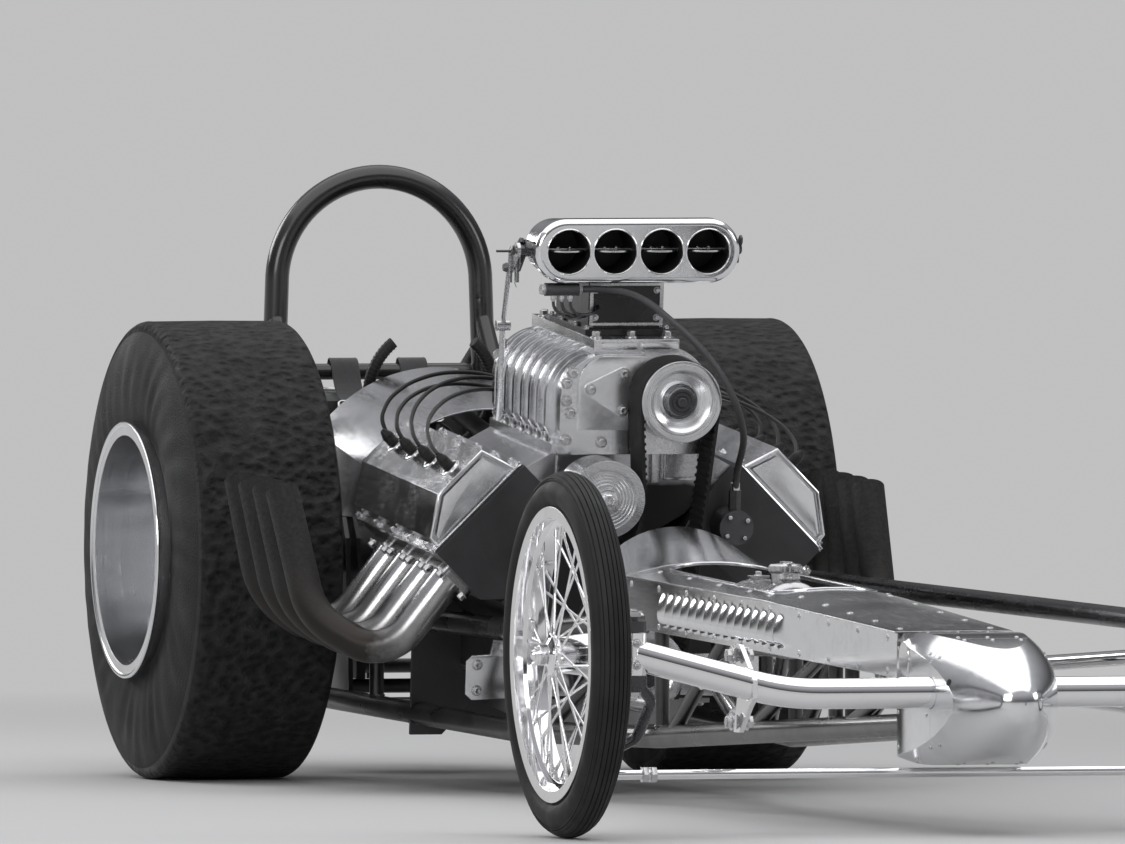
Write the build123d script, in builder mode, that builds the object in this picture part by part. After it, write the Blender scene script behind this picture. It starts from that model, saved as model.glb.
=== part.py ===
"""Front-engined drag racing car with a supercharged hemi-head V8.

Millimetres. +X points to the nose, +Y to the car's left and +Z up. The origin
lies on the ground under the middle of the car. Lengthwise places are measured
forward from the rear axle and turned into X by ahead().
"""
from build123d import *
from math import cos, radians, sin, sqrt, tan
import os

os.makedirs("parts", exist_ok=True)

# Whole car
WHEELBASE = 3200
TAIL_LENGTH = 950
FRONT_TRACK = 1444
REAR_TRACK = 890
RUNNING_GAP = 0.3
SIDES = {"left": 1, "right": -1}

# Front wheels and tyres
FRONT_TYRE_R = 300.5
FRONT_TYRE_WIDTH = 65
FRONT_RIM_R = 242.5
FRONT_RIM_WIDTH = 58
RIM_WALL = 4
HUB_BORE = 14
SPOKE_R = 2
SPOKES_PER_SIDE = 10

# Rear wheels and slicks
REAR_TYRE_R = 395
REAR_TYRE_WIDTH = 270
REAR_BEAD_R = 203.2
REAR_LIP_R = 220.5
REAR_RIM_WIDTH = 316
REAR_RIM_WALL = 5
STUB_R = 24
AXLE_TUBE_R = 40

# Frame
RAIL_R = 19
BRACE_R = 12.5
HOOP_R = 184
HOOP_TUBE_R = 21
HOOP_X = -530
HOOP_TOP = 1050

# Front axle and steering
AXLE_R = 25.4
AXLE_DROP_Z = 233
KINGPIN_Y = 610
KINGPIN_R = 9
STEER_ARM = 150
TIE_ROD_Z = 98
TIE_ROD_R = 8
LINK_ARM = 100
LINK_Z = 338
LINK_R = 17.5
LINK_SHANK = 62
LINK_SHANK_R = 10
PITMAN_X = 450
PITMAN_Y = 400
PITMAN_ARM = 180
BALL_GAP = 5.5
ROD_Y = 410

# Nose and front body
NOSE_R = 106.5
NOSE_Z = 219.5
NOSE_BACK = WHEELBASE - 200
NOSE_TIP = WHEELBASE + 200
NOSE_CORNER_R = 138
SKIN = 2.5
PANEL_BACK = 1340

# Engine
ENGINE_TILT = 5.5
ENGINE_FRONT = 1030
CRANK_Z = 225
BANK_ANGLE = 45
BORE_PITCH = 116
BLOCK_LENGTH = 500
DECK = 230
HEAD_TOP = 372
HEAD_WIDTH = 212
COVER_LENGTH = 480
COVER_HEIGHT = 70
PIPE_R = 28.5
PIPE_WALL = 1.8

# Supercharger and its drive
BLOWER_W = 449
BLOWER_HEIGHT = 178
BLOWER_WIDTH = 290
BLOWER_LENGTH = 390
BLOWER_FRONT = 16
PULLEY_R = 66
PULLEY_WIDTH = 84
PULLEY_BACK = 40
BELT_WIDTH = 76
BELT_THICK = 5
TOP_PULLEY = (51, 459)
IDLER = (-77, 294)
IDLER_R = 66

# Injector
HAT_WIDTH = 361
HAT_HEIGHT = 110
HAT_W = 703.5
HAT_FACE = 13
PORT_R = 38
PORT_PITCH = 81.8
PORT_DEPTH = 85
NECK_WIDTH = 132

MID_LENGTH = (WHEELBASE + FRONT_TYRE_R - TAIL_LENGTH) / 2


def ahead(distance):
    """X of a place this far forward of the rear axle."""
    return distance - MID_LENGTH


def spot(distance, y, z):
    """A point given by its distance forward of the rear axle."""
    return Vector(ahead(distance), y, z)


def bar(points, radius, bend=None):
    """A round bar along straight runs, joined by arcs of the given bend radii."""
    with BuildPart() as run:
        with BuildLine() as route:
            if len(points) == 2:
                Line(*points)
            else:
                FilletPolyline(*points, radius=bend)
        with BuildSketch(Plane(origin=route.line @ 0, z_dir=route.line % 0)):
            Circle(radius)
        sweep(path=route.line)
    return run.part


def across(x, y, z):
    """Plane at a point, whose normal is +Y, with X along +X and Y along -Z."""
    return Plane(origin=(x, y, z), x_dir=(1, 0, 0), z_dir=(0, 1, 0))


def write(piece, name):
    """Label a finished piece and write it as its own file."""
    piece.part.label = name
    export_step(piece.part, f"parts/{name}.step")


# The engine leans nose down, so its parts are placed on its own plane:
# u runs forward along the crank, v to the left and w up, square to the crank.
tilt = radians(ENGINE_TILT)
engine = Plane(
    origin=(ahead(ENGINE_FRONT), 0, CRANK_Z),
    x_dir=(cos(tilt), 0, -sin(tilt)),
    z_dir=(sin(tilt), 0, cos(tilt)),
)


def on_engine(u, v, w):
    """World place of a point given on the engine's plane."""
    return engine.from_local_coords(Vector(u, v, w))


def section(u):
    """Plane square to the crank at u, for sketches in v and w."""
    return Plane(origin=on_engine(u, 0, 0), x_dir=(0, 1, 0), z_dir=engine.x_dir)


def bank_point(side, out, up):
    """v and w of a point on one cylinder bank: out past its middle, up along it."""
    lean = radians(BANK_ANGLE)
    return (side * (up * sin(lean) + out * cos(lean)), up * cos(lean) - out * sin(lean))


# Front body sections: distance, half width, side bottom, side top, crown
BODY = [
    (PANEL_BACK, 146, 300, 376, 460),
    (1530, 141, 299, 382, 404),
    (2300, 124, 276, 360, 378),
    (NOSE_BACK, 100.5, 252, 325, 325.6),
]


def body_at(distance, column):
    """Value of one column of BODY at a distance, along the straight between sections."""
    for here, ahead_of in zip(BODY, BODY[1:]):
        if distance <= ahead_of[0]:
            break
    share = (distance - here[0]) / (ahead_of[0] - here[0])
    return here[column] + share * (ahead_of[column] - here[column])


# Rails: distance, half spacing, height
RAIL_END = WHEELBASE - 60
UPPER_RAIL = [(-640, 195, 300), (-200, 225, 290), (1130, 215, 284), (1640, 118, 316), (RAIL_END, 50, 258)]
LOWER_RAIL = [(-640, 195, 180), (-200, 225, 140), (1130, 215, 112), (1640, 118, 116), (RAIL_END, 50, 182)]
TANK_BRACE = 2060
NOSE_BRACE = RAIL_END - 130
BAY_BRACE = TANK_BRACE + (NOSE_BRACE - TANK_BRACE) * 10 / 19
BRACE_PLACES = [-620, 250, 1170, 1660, TANK_BRACE, BAY_BRACE, NOSE_BRACE]
BRACE_STEP = 45


def rail_at(rail, distance):
    """Half spacing and height of a rail at a distance."""
    for here, there in zip(rail, rail[1:]):
        if distance <= there[0]:
            break
    share = (distance - here[0]) / (there[0] - here[0])
    return (here[1] + share * (there[1] - here[1]), here[2] + share * (there[2] - here[2]))


# Side frames: two rails a side, with uprights and diagonals
for name, side in SIDES.items():
    rails = []
    for rail in (UPPER_RAIL, LOWER_RAIL):
        rails.append(bar([spot(x, side * y, z) for x, y, z in rail], RAIL_R, 150))
    uprights = []
    for place in BRACE_PLACES:
        top_y, top_z = rail_at(UPPER_RAIL, place)
        low_y, low_z = rail_at(LOWER_RAIL, place)
        uprights.append(bar([spot(place, side * low_y, low_z), spot(place, side * top_y, top_z)], BRACE_R))
    for place, after in zip(BRACE_PLACES[2:], BRACE_PLACES[3:]):
        low_y, low_z = rail_at(LOWER_RAIL, place + BRACE_STEP)
        top_y, top_z = rail_at(UPPER_RAIL, after - BRACE_STEP)
        foot = spot(place + BRACE_STEP, side * low_y, low_z)
        uprights.append(bar([foot, spot(after - BRACE_STEP, side * top_y, top_z)], BRACE_R))
    with BuildPart() as side_frame:
        add(rails)
        add(uprights)
    write(side_frame, f"side_frame_{name}")

# Cross members: tubes fish-mouthed to meet the rails, the plates that hang the rear
# axle housing on them, and the block in the nose that clamps the front axle
rail_clearance = []
for side in SIDES.values():
    for rail in (UPPER_RAIL, LOWER_RAIL):
        rail_clearance.append(bar([spot(x, side * y, z) for x, y, z in rail], RAIL_R + RUNNING_GAP, 150))
CROSS_PLACES = [
    ("upper", -590), ("lower", -590), ("lower", -300), ("lower", 200), ("lower", 1220), ("upper", 2100),
    ("lower", 2100),
]
TOW_PLACE = -590
TIE_PLACE = 1220
SADDLE_BACK = WHEELBASE - 58
SADDLE_WIDTH = NOSE_CORNER_R
SADDLE_HEIGHT = NOSE_CORNER_R - 18
PLATE_THICK = 8
EYE_R = 10
EYE_RIM = 22
EYE_THICK = 10
EYE_REACH = 78
TIE_REACH = 58
TIE_Y = 90
with BuildPart() as cross_members:
    for level, place in CROSS_PLACES:
        half, height = rail_at(UPPER_RAIL if level == "upper" else LOWER_RAIL, place)
        add(bar([spot(place, -half, height), spot(place, half, height)], BRACE_R))
    for side in SIDES.values():
        y = side * rail_at(UPPER_RAIL, 0)[0]
        with BuildSketch(across(ahead(0), y - PLATE_THICK / 2, REAR_TYRE_R)):
            with BuildLine():
                Polyline((-95, 268), (-70, -20), (-48, -56), (48, -56), (70, -20), (95, 268), close=True)
            make_face()
        extrude(amount=PLATE_THICK)
    add(rail_clearance, mode=Mode.SUBTRACT)
    with BuildSketch(across(ahead(0), -300, REAR_TYRE_R)):
        Circle(AXLE_TUBE_R + RUNNING_GAP)
    extrude(amount=600, mode=Mode.SUBTRACT)
    # Upright eye to tow by behind the last tube
    tow_z = rail_at(LOWER_RAIL, TOW_PLACE)[1]
    with BuildSketch(across(ahead(TOW_PLACE), -EYE_THICK / 2, tow_z)):
        with Locations((-EYE_REACH / 2, 0)):
            Rectangle(EYE_REACH, 2 * EYE_RIM)
        with Locations((-EYE_REACH, 0)):
            Circle(EYE_RIM)
            Circle(EYE_R, mode=Mode.SUBTRACT)
    extrude(amount=EYE_THICK)
    # Two flat eyes to tie down by, in the bay ahead of the engine
    tie_z = rail_at(LOWER_RAIL, TIE_PLACE)[1]
    for side in SIDES.values():
        with BuildSketch(Plane(origin=spot(TIE_PLACE, side * TIE_Y, tie_z - EYE_THICK / 2))):
            with Locations((TIE_REACH / 2, 0)):
                Rectangle(TIE_REACH, 2 * EYE_RIM)
            with Locations((TIE_REACH, 0)):
                Circle(EYE_RIM)
                Circle(EYE_R, mode=Mode.SUBTRACT)
        extrude(amount=EYE_THICK)
    with BuildSketch(across(ahead(WHEELBASE), -SADDLE_WIDTH / 2, AXLE_DROP_Z)):
        with Locations((0, AXLE_DROP_Z - NOSE_Z)):
            RectangleRounded(2 * (WHEELBASE - SADDLE_BACK), SADDLE_HEIGHT, 10)
        Circle(AXLE_R + RUNNING_GAP, mode=Mode.SUBTRACT)
    extrude(amount=SADDLE_WIDTH)
write(cross_members, "cross_members")

# Front axle: dropped tube with a boss for each kingpin
axle_route = [
    spot(WHEELBASE, -KINGPIN_Y, FRONT_TYRE_R),
    spot(WHEELBASE, -350, AXLE_DROP_Z),
    spot(WHEELBASE, 350, AXLE_DROP_Z),
    spot(WHEELBASE, KINGPIN_Y, FRONT_TYRE_R),
]
axle_clearance = bar(axle_route, AXLE_R + RUNNING_GAP, 450)
with BuildPart() as front_axle:
    add(bar(axle_route, AXLE_R, 450))
    for side in SIDES.values():
        with BuildSketch(Plane(origin=spot(WHEELBASE, side * KINGPIN_Y, FRONT_TYRE_R - 35))):
            Circle(22)
        extrude(amount=70)
    for side in SIDES.values():
        with BuildSketch(Plane(origin=spot(WHEELBASE, side * KINGPIN_Y, FRONT_TYRE_R - 40))):
            Circle(KINGPIN_R + RUNNING_GAP)
        extrude(amount=80, mode=Mode.SUBTRACT)
    # Square end of the tube outside the boss, cut so that the knuckle clears it
    for side in SIDES.values():
        with BuildSketch(Plane(origin=spot(WHEELBASE, side * (KINGPIN_Y + 42), FRONT_TYRE_R - 60))):
            Rectangle(80, 40)
        extrude(amount=120, mode=Mode.SUBTRACT)
write(front_axle, "front_axle")

# Hairpin radius rods, their axle brackets and their frame clevises
ROD_R = 13
ROD_FRONT = WHEELBASE - 65
ROD_BACK = 2085
ROD_BACK_Y = 158
with BuildPart() as radius_rods:
    for side in SIDES.values():
        high = spot(ROD_FRONT, side * ROD_Y, 296)
        low = spot(ROD_FRONT, side * ROD_Y, 186)
        rear = spot(ROD_BACK, side * ROD_BACK_Y, 232)
        for end in (high, low):
            add(bar([end, rear], ROD_R))
        with BuildSketch(across(rear.X, rear.Y - 14, rear.Z)):
            Circle(24)
        extrude(amount=28)
        with BuildSketch(across(rear.X, rear.Y - 14, rear.Z)):
            Circle(8)
        extrude(amount=28, mode=Mode.SUBTRACT)
        with BuildSketch(across(ahead(WHEELBASE), side * ROD_Y - 4, 245)):
            with BuildLine():
                Polyline(
                    (-85, -68), (-52, -68), (4, -30), (30, -12), (30, 18), (4, 34), (-52, 76), (-85, 76), (-58, 0),
                    close=True,
                )
            make_face()
        extrude(amount=8)
    add(axle_clearance, mode=Mode.SUBTRACT)
write(radius_rods, "radius_rods")

# Nose: an egg of revolution cut to flatter sides, top and belly, so that soft ridges
# run back from its round tip to the square corners of the body. It splits at the axle.
NOSE_TIP_R = 45
NOSE_CORNER_X = WHEELBASE - 140
# Distance, half width, height above the middle, depth below the middle
NOSE_FLATS = [
    (NOSE_BACK, 100.5, 106, 97), (WHEELBASE - 50, 106.5, 106.5, 106.5), (WHEELBASE + 100, 87, 86, 86),
    (WHEELBASE + 240, 45, 45, 45),
]
BLISTER_R = 33
BLISTER_HEIGHT = 7
BLISTER_X = WHEELBASE - 134
BLISTER_Y = 102
BLISTER_Z = 287
SEAM = 0.6


def nose_form(inset):
    """Solid nose, smaller all round by inset."""
    corner = NOSE_CORNER_R - inset
    ball = NOSE_TIP_R - inset
    ball_x = NOSE_TIP - NOSE_TIP_R
    run = ball_x - NOSE_CORNER_X
    # The long arc from the widest place is tangent to the ball at the tip
    flank_r = (run**2 + corner**2 - ball**2) / (2 * (corner - ball))
    reach = flank_r - ball
    with BuildPart() as form:
        with BuildSketch(Plane.XZ):
            with BuildLine():
                start = (ahead(NOSE_BACK), NOSE_Z + corner)
                widest = (ahead(NOSE_CORNER_X), NOSE_Z + corner)
                join = (ahead(ball_x + ball * run / reach), NOSE_Z + ball * (flank_r - corner) / reach)
                tip = (ahead(ball_x + ball), NOSE_Z)
                Line(start, widest)
                TangentArc(widest, join, tangent=(1, 0))
                RadiusArc(join, tip, ball)
                Line(tip, (ahead(NOSE_BACK), NOSE_Z))
                Line((ahead(NOSE_BACK), NOSE_Z), start)
            make_face()
        revolve(axis=Axis((0, 0, NOSE_Z), (1, 0, 0)))
        with BuildSketch(Plane.XY.offset(NOSE_Z - 150)):
            with BuildLine():
                right = [(ahead(row[0]), -row[1] + inset) for row in NOSE_FLATS]
                left = [(x, -y) for x, y in right]
                ThreePointArc(*right[:3])
                Line(right[2], right[3])
                Line(right[3], left[3])
                Line(left[3], left[2])
                ThreePointArc(*reversed(left[:3]))
                Line(left[0], right[0])
            make_face()
        extrude(amount=300, mode=Mode.INTERSECT)
        with BuildSketch(across(0, -200, NOSE_Z)):
            with BuildLine():
                top = [(ahead(row[0]), -row[2] + inset) for row in NOSE_FLATS]
                belly = [(ahead(row[0]), row[3] - inset) for row in NOSE_FLATS]
                ThreePointArc(*top[:3])
                Line(top[2], top[3])
                Line(top[3], belly[3])
                Line(belly[3], belly[2])
                ThreePointArc(*reversed(belly[:3]))
                Line(belly[0], top[0])
            make_face()
        extrude(amount=400, mode=Mode.INTERSECT)
    return form.part


nose_outer = nose_form(0)
nose_inner = nose_form(SKIN)
for name, low, high in (("nose_collar", NOSE_BACK, WHEELBASE - SEAM), ("nose_cone", WHEELBASE, NOSE_TIP + 10)):
    with BuildPart() as shell:
        add(nose_outer)
        add(nose_inner, mode=Mode.SUBTRACT)
        if name == "nose_collar":
            # Round blister beaten into each side above the axle
            for side in SIDES.values():
                with BuildSketch(across(ahead(BLISTER_X), side * BLISTER_Y, BLISTER_Z)):
                    Circle(BLISTER_R)
                extrude(amount=side * BLISTER_HEIGHT, taper=40)
        with BuildSketch(Plane(origin=spot(low, 0, NOSE_Z), x_dir=(0, 1, 0), z_dir=(1, 0, 0))):
            Rectangle(300, 300)
        extrude(amount=high - low, mode=Mode.INTERSECT)
        with BuildSketch(across(ahead(WHEELBASE), -200, AXLE_DROP_Z)):
            Circle(AXLE_R + 0.8)
        extrude(amount=400, mode=Mode.SUBTRACT)
    write(shell, name)

# Side panels: flat plates over the rails, tapering to the nose, each with a row of louvres
LOUVRE_BACK = 1720
LOUVRE_PITCH = 60
LOUVRES = int((NOSE_BACK - 440 - LOUVRE_BACK) / LOUVRE_PITCH)
LOUVRE_LENGTH = 36
LOUVRE_DEPTH = 11
LOUVRE_MARGIN = 19
with BuildPart() as side_panels:
    for side in SIDES.values():
        for here, there in zip(BODY, BODY[1:]):
            with BuildSketch(Plane(origin=spot(here[0], 0, 0), x_dir=(0, 1, 0), z_dir=(1, 0, 0))) as back_edge:
                with Locations((side * (here[1] - SKIN / 2), (here[2] + here[3]) / 2)):
                    Rectangle(SKIN, here[3] - here[2])
            with BuildSketch(Plane(origin=spot(there[0], 0, 0), x_dir=(0, 1, 0), z_dir=(1, 0, 0))) as front_edge:
                with Locations((side * (there[1] - SKIN / 2), (there[2] + there[3]) / 2)):
                    Rectangle(SKIN, there[3] - there[2])
            loft(ruled=True)
        for count in range(LOUVRES):
            place = LOUVRE_BACK + count * LOUVRE_PITCH
            half = body_at(place, 1)
            low = body_at(place, 2)
            high = body_at(place, 3)
            with BuildSketch(Plane(origin=spot(place, side * (half - SKIN / 2), low + LOUVRE_MARGIN))):
                with BuildLine():
                    Polyline((0, 0), (LOUVRE_LENGTH, 0), (0, side * LOUVRE_DEPTH), close=True)
                make_face()
            extrude(amount=high - low - 2 * LOUVRE_MARGIN)
    add(rail_clearance, mode=Mode.SUBTRACT)
write(side_panels, "side_panels")


def arch(distance, lift=0.0, widen=0.0):
    """Plane and outline of the crowned top skin at a distance."""
    half = body_at(distance, 1) + widen
    edge = body_at(distance, 3) + lift
    crown = body_at(distance, 4) + lift
    plane = Plane(origin=spot(distance, 0, 0), x_dir=(0, 1, 0), z_dir=(1, 0, 0))
    with BuildSketch(plane, mode=Mode.PRIVATE) as outline:
        with BuildLine():
            ThreePointArc((-half, edge + SKIN), (0, crown + SKIN), (half, edge + SKIN))
            Line((half, edge + SKIN), (half, edge))
            ThreePointArc((half, edge), (0, crown), (-half, edge))
            Line((-half, edge), (-half, edge + SKIN))
        make_face()
    return outline.sketch


# Top skins: raised cowl dome behind the hood opening, then the hood down to the nose
with BuildPart() as cowl_dome:
    add(arch(PANEL_BACK, 0.3, 1))
    add(arch(BODY[1][0] - 2, 0.3, 1))
    loft(ruled=True)
write(cowl_dome, "cowl_dome")

OPENING_BACK = 1562
OPENING_FRONT = 2290
OPENING_WIDTH = 176
with BuildPart() as hood:
    add(arch(BODY[1][0], 0.3, 1))
    add(arch(BODY[2][0], 0.3, 1))
    loft(ruled=True)
    add(arch(BODY[2][0], 0.3, 1))
    add(arch(NOSE_BACK - 10, 0.3, 1))
    loft(ruled=True)
    with BuildSketch(Plane.XY.offset(250)):
        with Locations((ahead((OPENING_BACK + OPENING_FRONT) / 2), 0)):
            RectangleRounded(OPENING_FRONT - OPENING_BACK, OPENING_WIDTH, 70)
    extrude(amount=250, mode=Mode.SUBTRACT)
write(hood, "hood")

# Fuel tank in the hood opening: drum with domed ends on two saddles
TANK_X = (1800, 2060)
TANK_R = 64
TANK_Z = 322
with BuildPart() as fuel_tank:
    with BuildSketch(Plane(origin=spot(TANK_X[0], 0, TANK_Z), x_dir=(0, 1, 0), z_dir=(1, 0, 0))):
        Circle(TANK_R)
    extrude(amount=TANK_X[1] - TANK_X[0])
    fillet(fuel_tank.edges().filter_by(GeomType.CIRCLE), 14)
    with BuildSketch(Plane(origin=spot(TANK_X[1] - 60, 0, TANK_Z))):
        Circle(24)
    extrude(amount=TANK_R + 14)
    for place in (TANK_X[0] + 40, TANK_X[1] - 40):
        half, height = rail_at(UPPER_RAIL, place)
        with BuildSketch(Plane(origin=spot(place, 0, height - 10))):
            Rectangle(24, 2 * half)
        extrude(amount=20)
    add(rail_clearance, mode=Mode.SUBTRACT)
write(fuel_tank, "fuel_tank")


def wheel_plane(distance, side, y, z):
    """Plane through a wheel's axis: its X runs outward along the axis, its Y up."""
    return Plane(origin=spot(distance, side * y, z), x_dir=(0, side, 0), z_dir=(side, 0, 0))


def turned(plane, points):
    """Solid turned about the plane's X from an outline of (outward, radius) points."""
    with BuildPart() as solid:
        with BuildSketch(plane):
            with BuildLine():
                Polyline(*points, close=True)
            make_face()
        revolve(axis=Axis(plane.origin, plane.x_dir))
    return solid.part


# Front wheels: tyre, and a wire wheel of rim, hub and two crossed sets of spokes
FRONT_SEAT_R = 229
HUB_INNER = -64
HUB_OUTER = 57
HUB_FLANGES = ((25, 30, 0), (HUB_INNER + 10, 42, 9))
for name, side in SIDES.items():
    plane = wheel_plane(WHEELBASE, side, FRONT_TRACK / 2, FRONT_TYRE_R)
    half = FRONT_TYRE_WIDTH / 2
    with BuildPart() as front_tyre:
        with BuildSketch(plane):
            with BuildLine():
                foot = FRONT_SEAT_R + RUNNING_GAP
                ThreePointArc((-half + 13, FRONT_TYRE_R - 8), (-half, foot + 42), (-half + 9, foot + 15))
                Line((-half + 9, foot + 15), (-half + 9, foot))
                Line((-half + 9, foot), (half - 9, foot))
                Line((half - 9, foot), (half - 9, foot + 15))
                ThreePointArc((half - 9, foot + 15), (half, foot + 42), (half - 13, FRONT_TYRE_R - 8))
                ThreePointArc((half - 13, FRONT_TYRE_R - 8), (0, FRONT_TYRE_R), (-half + 13, FRONT_TYRE_R - 8))
            make_face()
        revolve(axis=Axis(plane.origin, plane.x_dir))
    write(front_tyre, f"front_tyre_{name}")

    edge = FRONT_RIM_WIDTH / 2
    rim = turned(plane, [
        (-edge, FRONT_RIM_R), (-edge + 4, FRONT_RIM_R), (-edge + 5, FRONT_SEAT_R), (-13, FRONT_SEAT_R - 2),
        (-9, 216), (9, 216), (13, FRONT_SEAT_R - 2), (edge - 5, FRONT_SEAT_R), (edge - 4, FRONT_RIM_R),
        (edge, FRONT_RIM_R), (edge - 1, FRONT_SEAT_R - 5), (12, FRONT_SEAT_R - 7), (9, 211),
        (-9, 211), (-12, FRONT_SEAT_R - 7), (-edge + 1, FRONT_SEAT_R - 5),
    ])
    hub = turned(plane, [
        (HUB_INNER, 0), (HUB_INNER, 42), (HUB_INNER + 4, 46), (HUB_INNER + 16, 46), (HUB_INNER + 20, 37),
        (18, 29), (21, 33), (29, 33), (31, 27), (35, 18), (HUB_OUTER - 8, 17), (HUB_OUTER - 2, 12), (HUB_OUTER, 0),
    ])
    spokes = []
    for flange_x, flange_r, start in HUB_FLANGES:
        for count in range(2 * SPOKES_PER_SIDE):
            turn = radians(start + count * 180 / SPOKES_PER_SIDE)
            sweep_round = radians(52) * (1 if count % 2 else -1)
            root = plane.from_local_coords(Vector(flange_x, flange_r * cos(turn), flange_r * sin(turn)))
            nipple = plane.from_local_coords(Vector(
                3 if flange_x > 0 else -3,
                213.5 * cos(turn + sweep_round / 1.6),
                213.5 * sin(turn + sweep_round / 1.6),
            ))
            spokes.append(bar([root, nipple], SPOKE_R))
    with BuildPart() as wire_wheel:
        add(rim)
        add(hub)
        add(spokes)
        with BuildSketch(Plane(origin=plane.from_local_coords(Vector(HUB_INNER, 0, 0)), z_dir=plane.x_dir)):
            Circle(HUB_BORE)
        extrude(amount=18 - HUB_INNER, mode=Mode.SUBTRACT)
    write(wire_wheel, f"wire_wheel_{name}")

# Rear wheels: slick, deep-dished wheel and brake drum
REAR_HUB_INNER = -145
for name, side in SIDES.items():
    plane = wheel_plane(0, side, REAR_TRACK / 2, REAR_TYRE_R)
    half = REAR_TYRE_WIDTH / 2
    with BuildPart() as rear_slick:
        with BuildSketch(plane):
            with BuildLine():
                foot = REAR_BEAD_R + RUNNING_GAP
                ThreePointArc((-half + 4, foot), (-half - 8, 290), (-half + 8, REAR_TYRE_R - 14))
                ThreePointArc(
                    (-half + 8, REAR_TYRE_R - 14), (-half + 14, REAR_TYRE_R - 4), (-half + 28, REAR_TYRE_R - 1),
                )
                Line((-half + 28, REAR_TYRE_R - 1), (0, REAR_TYRE_R))
                Line((0, REAR_TYRE_R), (half - 28, REAR_TYRE_R - 1))
                ThreePointArc(
                    (half - 28, REAR_TYRE_R - 1), (half - 14, REAR_TYRE_R - 4), (half - 8, REAR_TYRE_R - 14),
                )
                ThreePointArc((half - 8, REAR_TYRE_R - 14), (half + 8, 290), (half - 4, foot))
                Line((half - 4, foot), (-half + 4, foot))
            make_face()
        revolve(axis=Axis(plane.origin, plane.x_dir))
    write(rear_slick, f"rear_slick_{name}")

    edge = REAR_RIM_WIDTH / 2
    inner = REAR_BEAD_R - REAR_RIM_WALL
    with BuildPart() as dished_wheel:
        add(turned(plane, [
            (-edge, REAR_LIP_R), (-edge + 5, REAR_LIP_R), (-edge + 8, REAR_BEAD_R), (edge - 8, REAR_BEAD_R),
            (edge - 5, REAR_LIP_R), (edge, REAR_LIP_R), (edge - 1, inner), (-60, inner - 6),
            (-66, inner - 14), (-84, 120), (-88, 62), (-60, 52), (-42, 34), (-40, 0), (-46, 0),
            (REAR_HUB_INNER, 0), (REAR_HUB_INNER, 60), (-108, 60), (-98, 62), (-94, 122), (-76, inner - 8),
            (-72, inner), (-edge + 1, inner),
        ]))
        with BuildSketch(Plane(origin=plane.from_local_coords(Vector(REAR_HUB_INNER, 0, 0)), z_dir=plane.x_dir)):
            Circle(STUB_R + RUNNING_GAP)
        extrude(amount=92, mode=Mode.SUBTRACT)
    write(dished_wheel, f"dished_wheel_{name}")

    with BuildPart() as brake_drum:
        add(turned(plane, [
            (-162, 128), (-162, 118), (-120, 118), (-118, 60.3), (-112, 60.3), (-112, 128),
        ]))
    write(brake_drum, f"brake_drum_{name}")

# Rear axle housing with its gear case, tubes, backing plates and stub shafts
STUB_END = REAR_TRACK / 2 - 56
BACKING_Y = REAR_TRACK / 2 - 174
housing_plane = Plane(origin=spot(0, 0, REAR_TYRE_R), x_dir=(0, 1, 0), z_dir=(1, 0, 0))
with BuildPart() as rear_axle_housing:
    add(turned(housing_plane, [
        (-STUB_END, 0), (-STUB_END, STUB_R), (-BACKING_Y - 6, STUB_R), (-BACKING_Y - 6, 116), (-BACKING_Y, 116),
        (-BACKING_Y, AXLE_TUBE_R), (-110, AXLE_TUBE_R), (-70, 105), (-30, 125), (30, 125), (70, 105),
        (110, AXLE_TUBE_R), (BACKING_Y, AXLE_TUBE_R),
        (BACKING_Y, 116), (BACKING_Y + 6, 116), (BACKING_Y + 6, STUB_R), (STUB_END, STUB_R), (STUB_END, 0),
    ]))
    with BuildSketch(Plane(origin=spot(90, 0, 372), x_dir=(0, 1, 0), z_dir=(1, 0, 0))):
        Circle(58)
    with BuildSketch(Plane(origin=spot(190, 0, 335), x_dir=(0, 1, 0), z_dir=(1, 0, 0))):
        Circle(40)
    loft(ruled=True)
write(rear_axle_housing, "rear_axle_housing")

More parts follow.
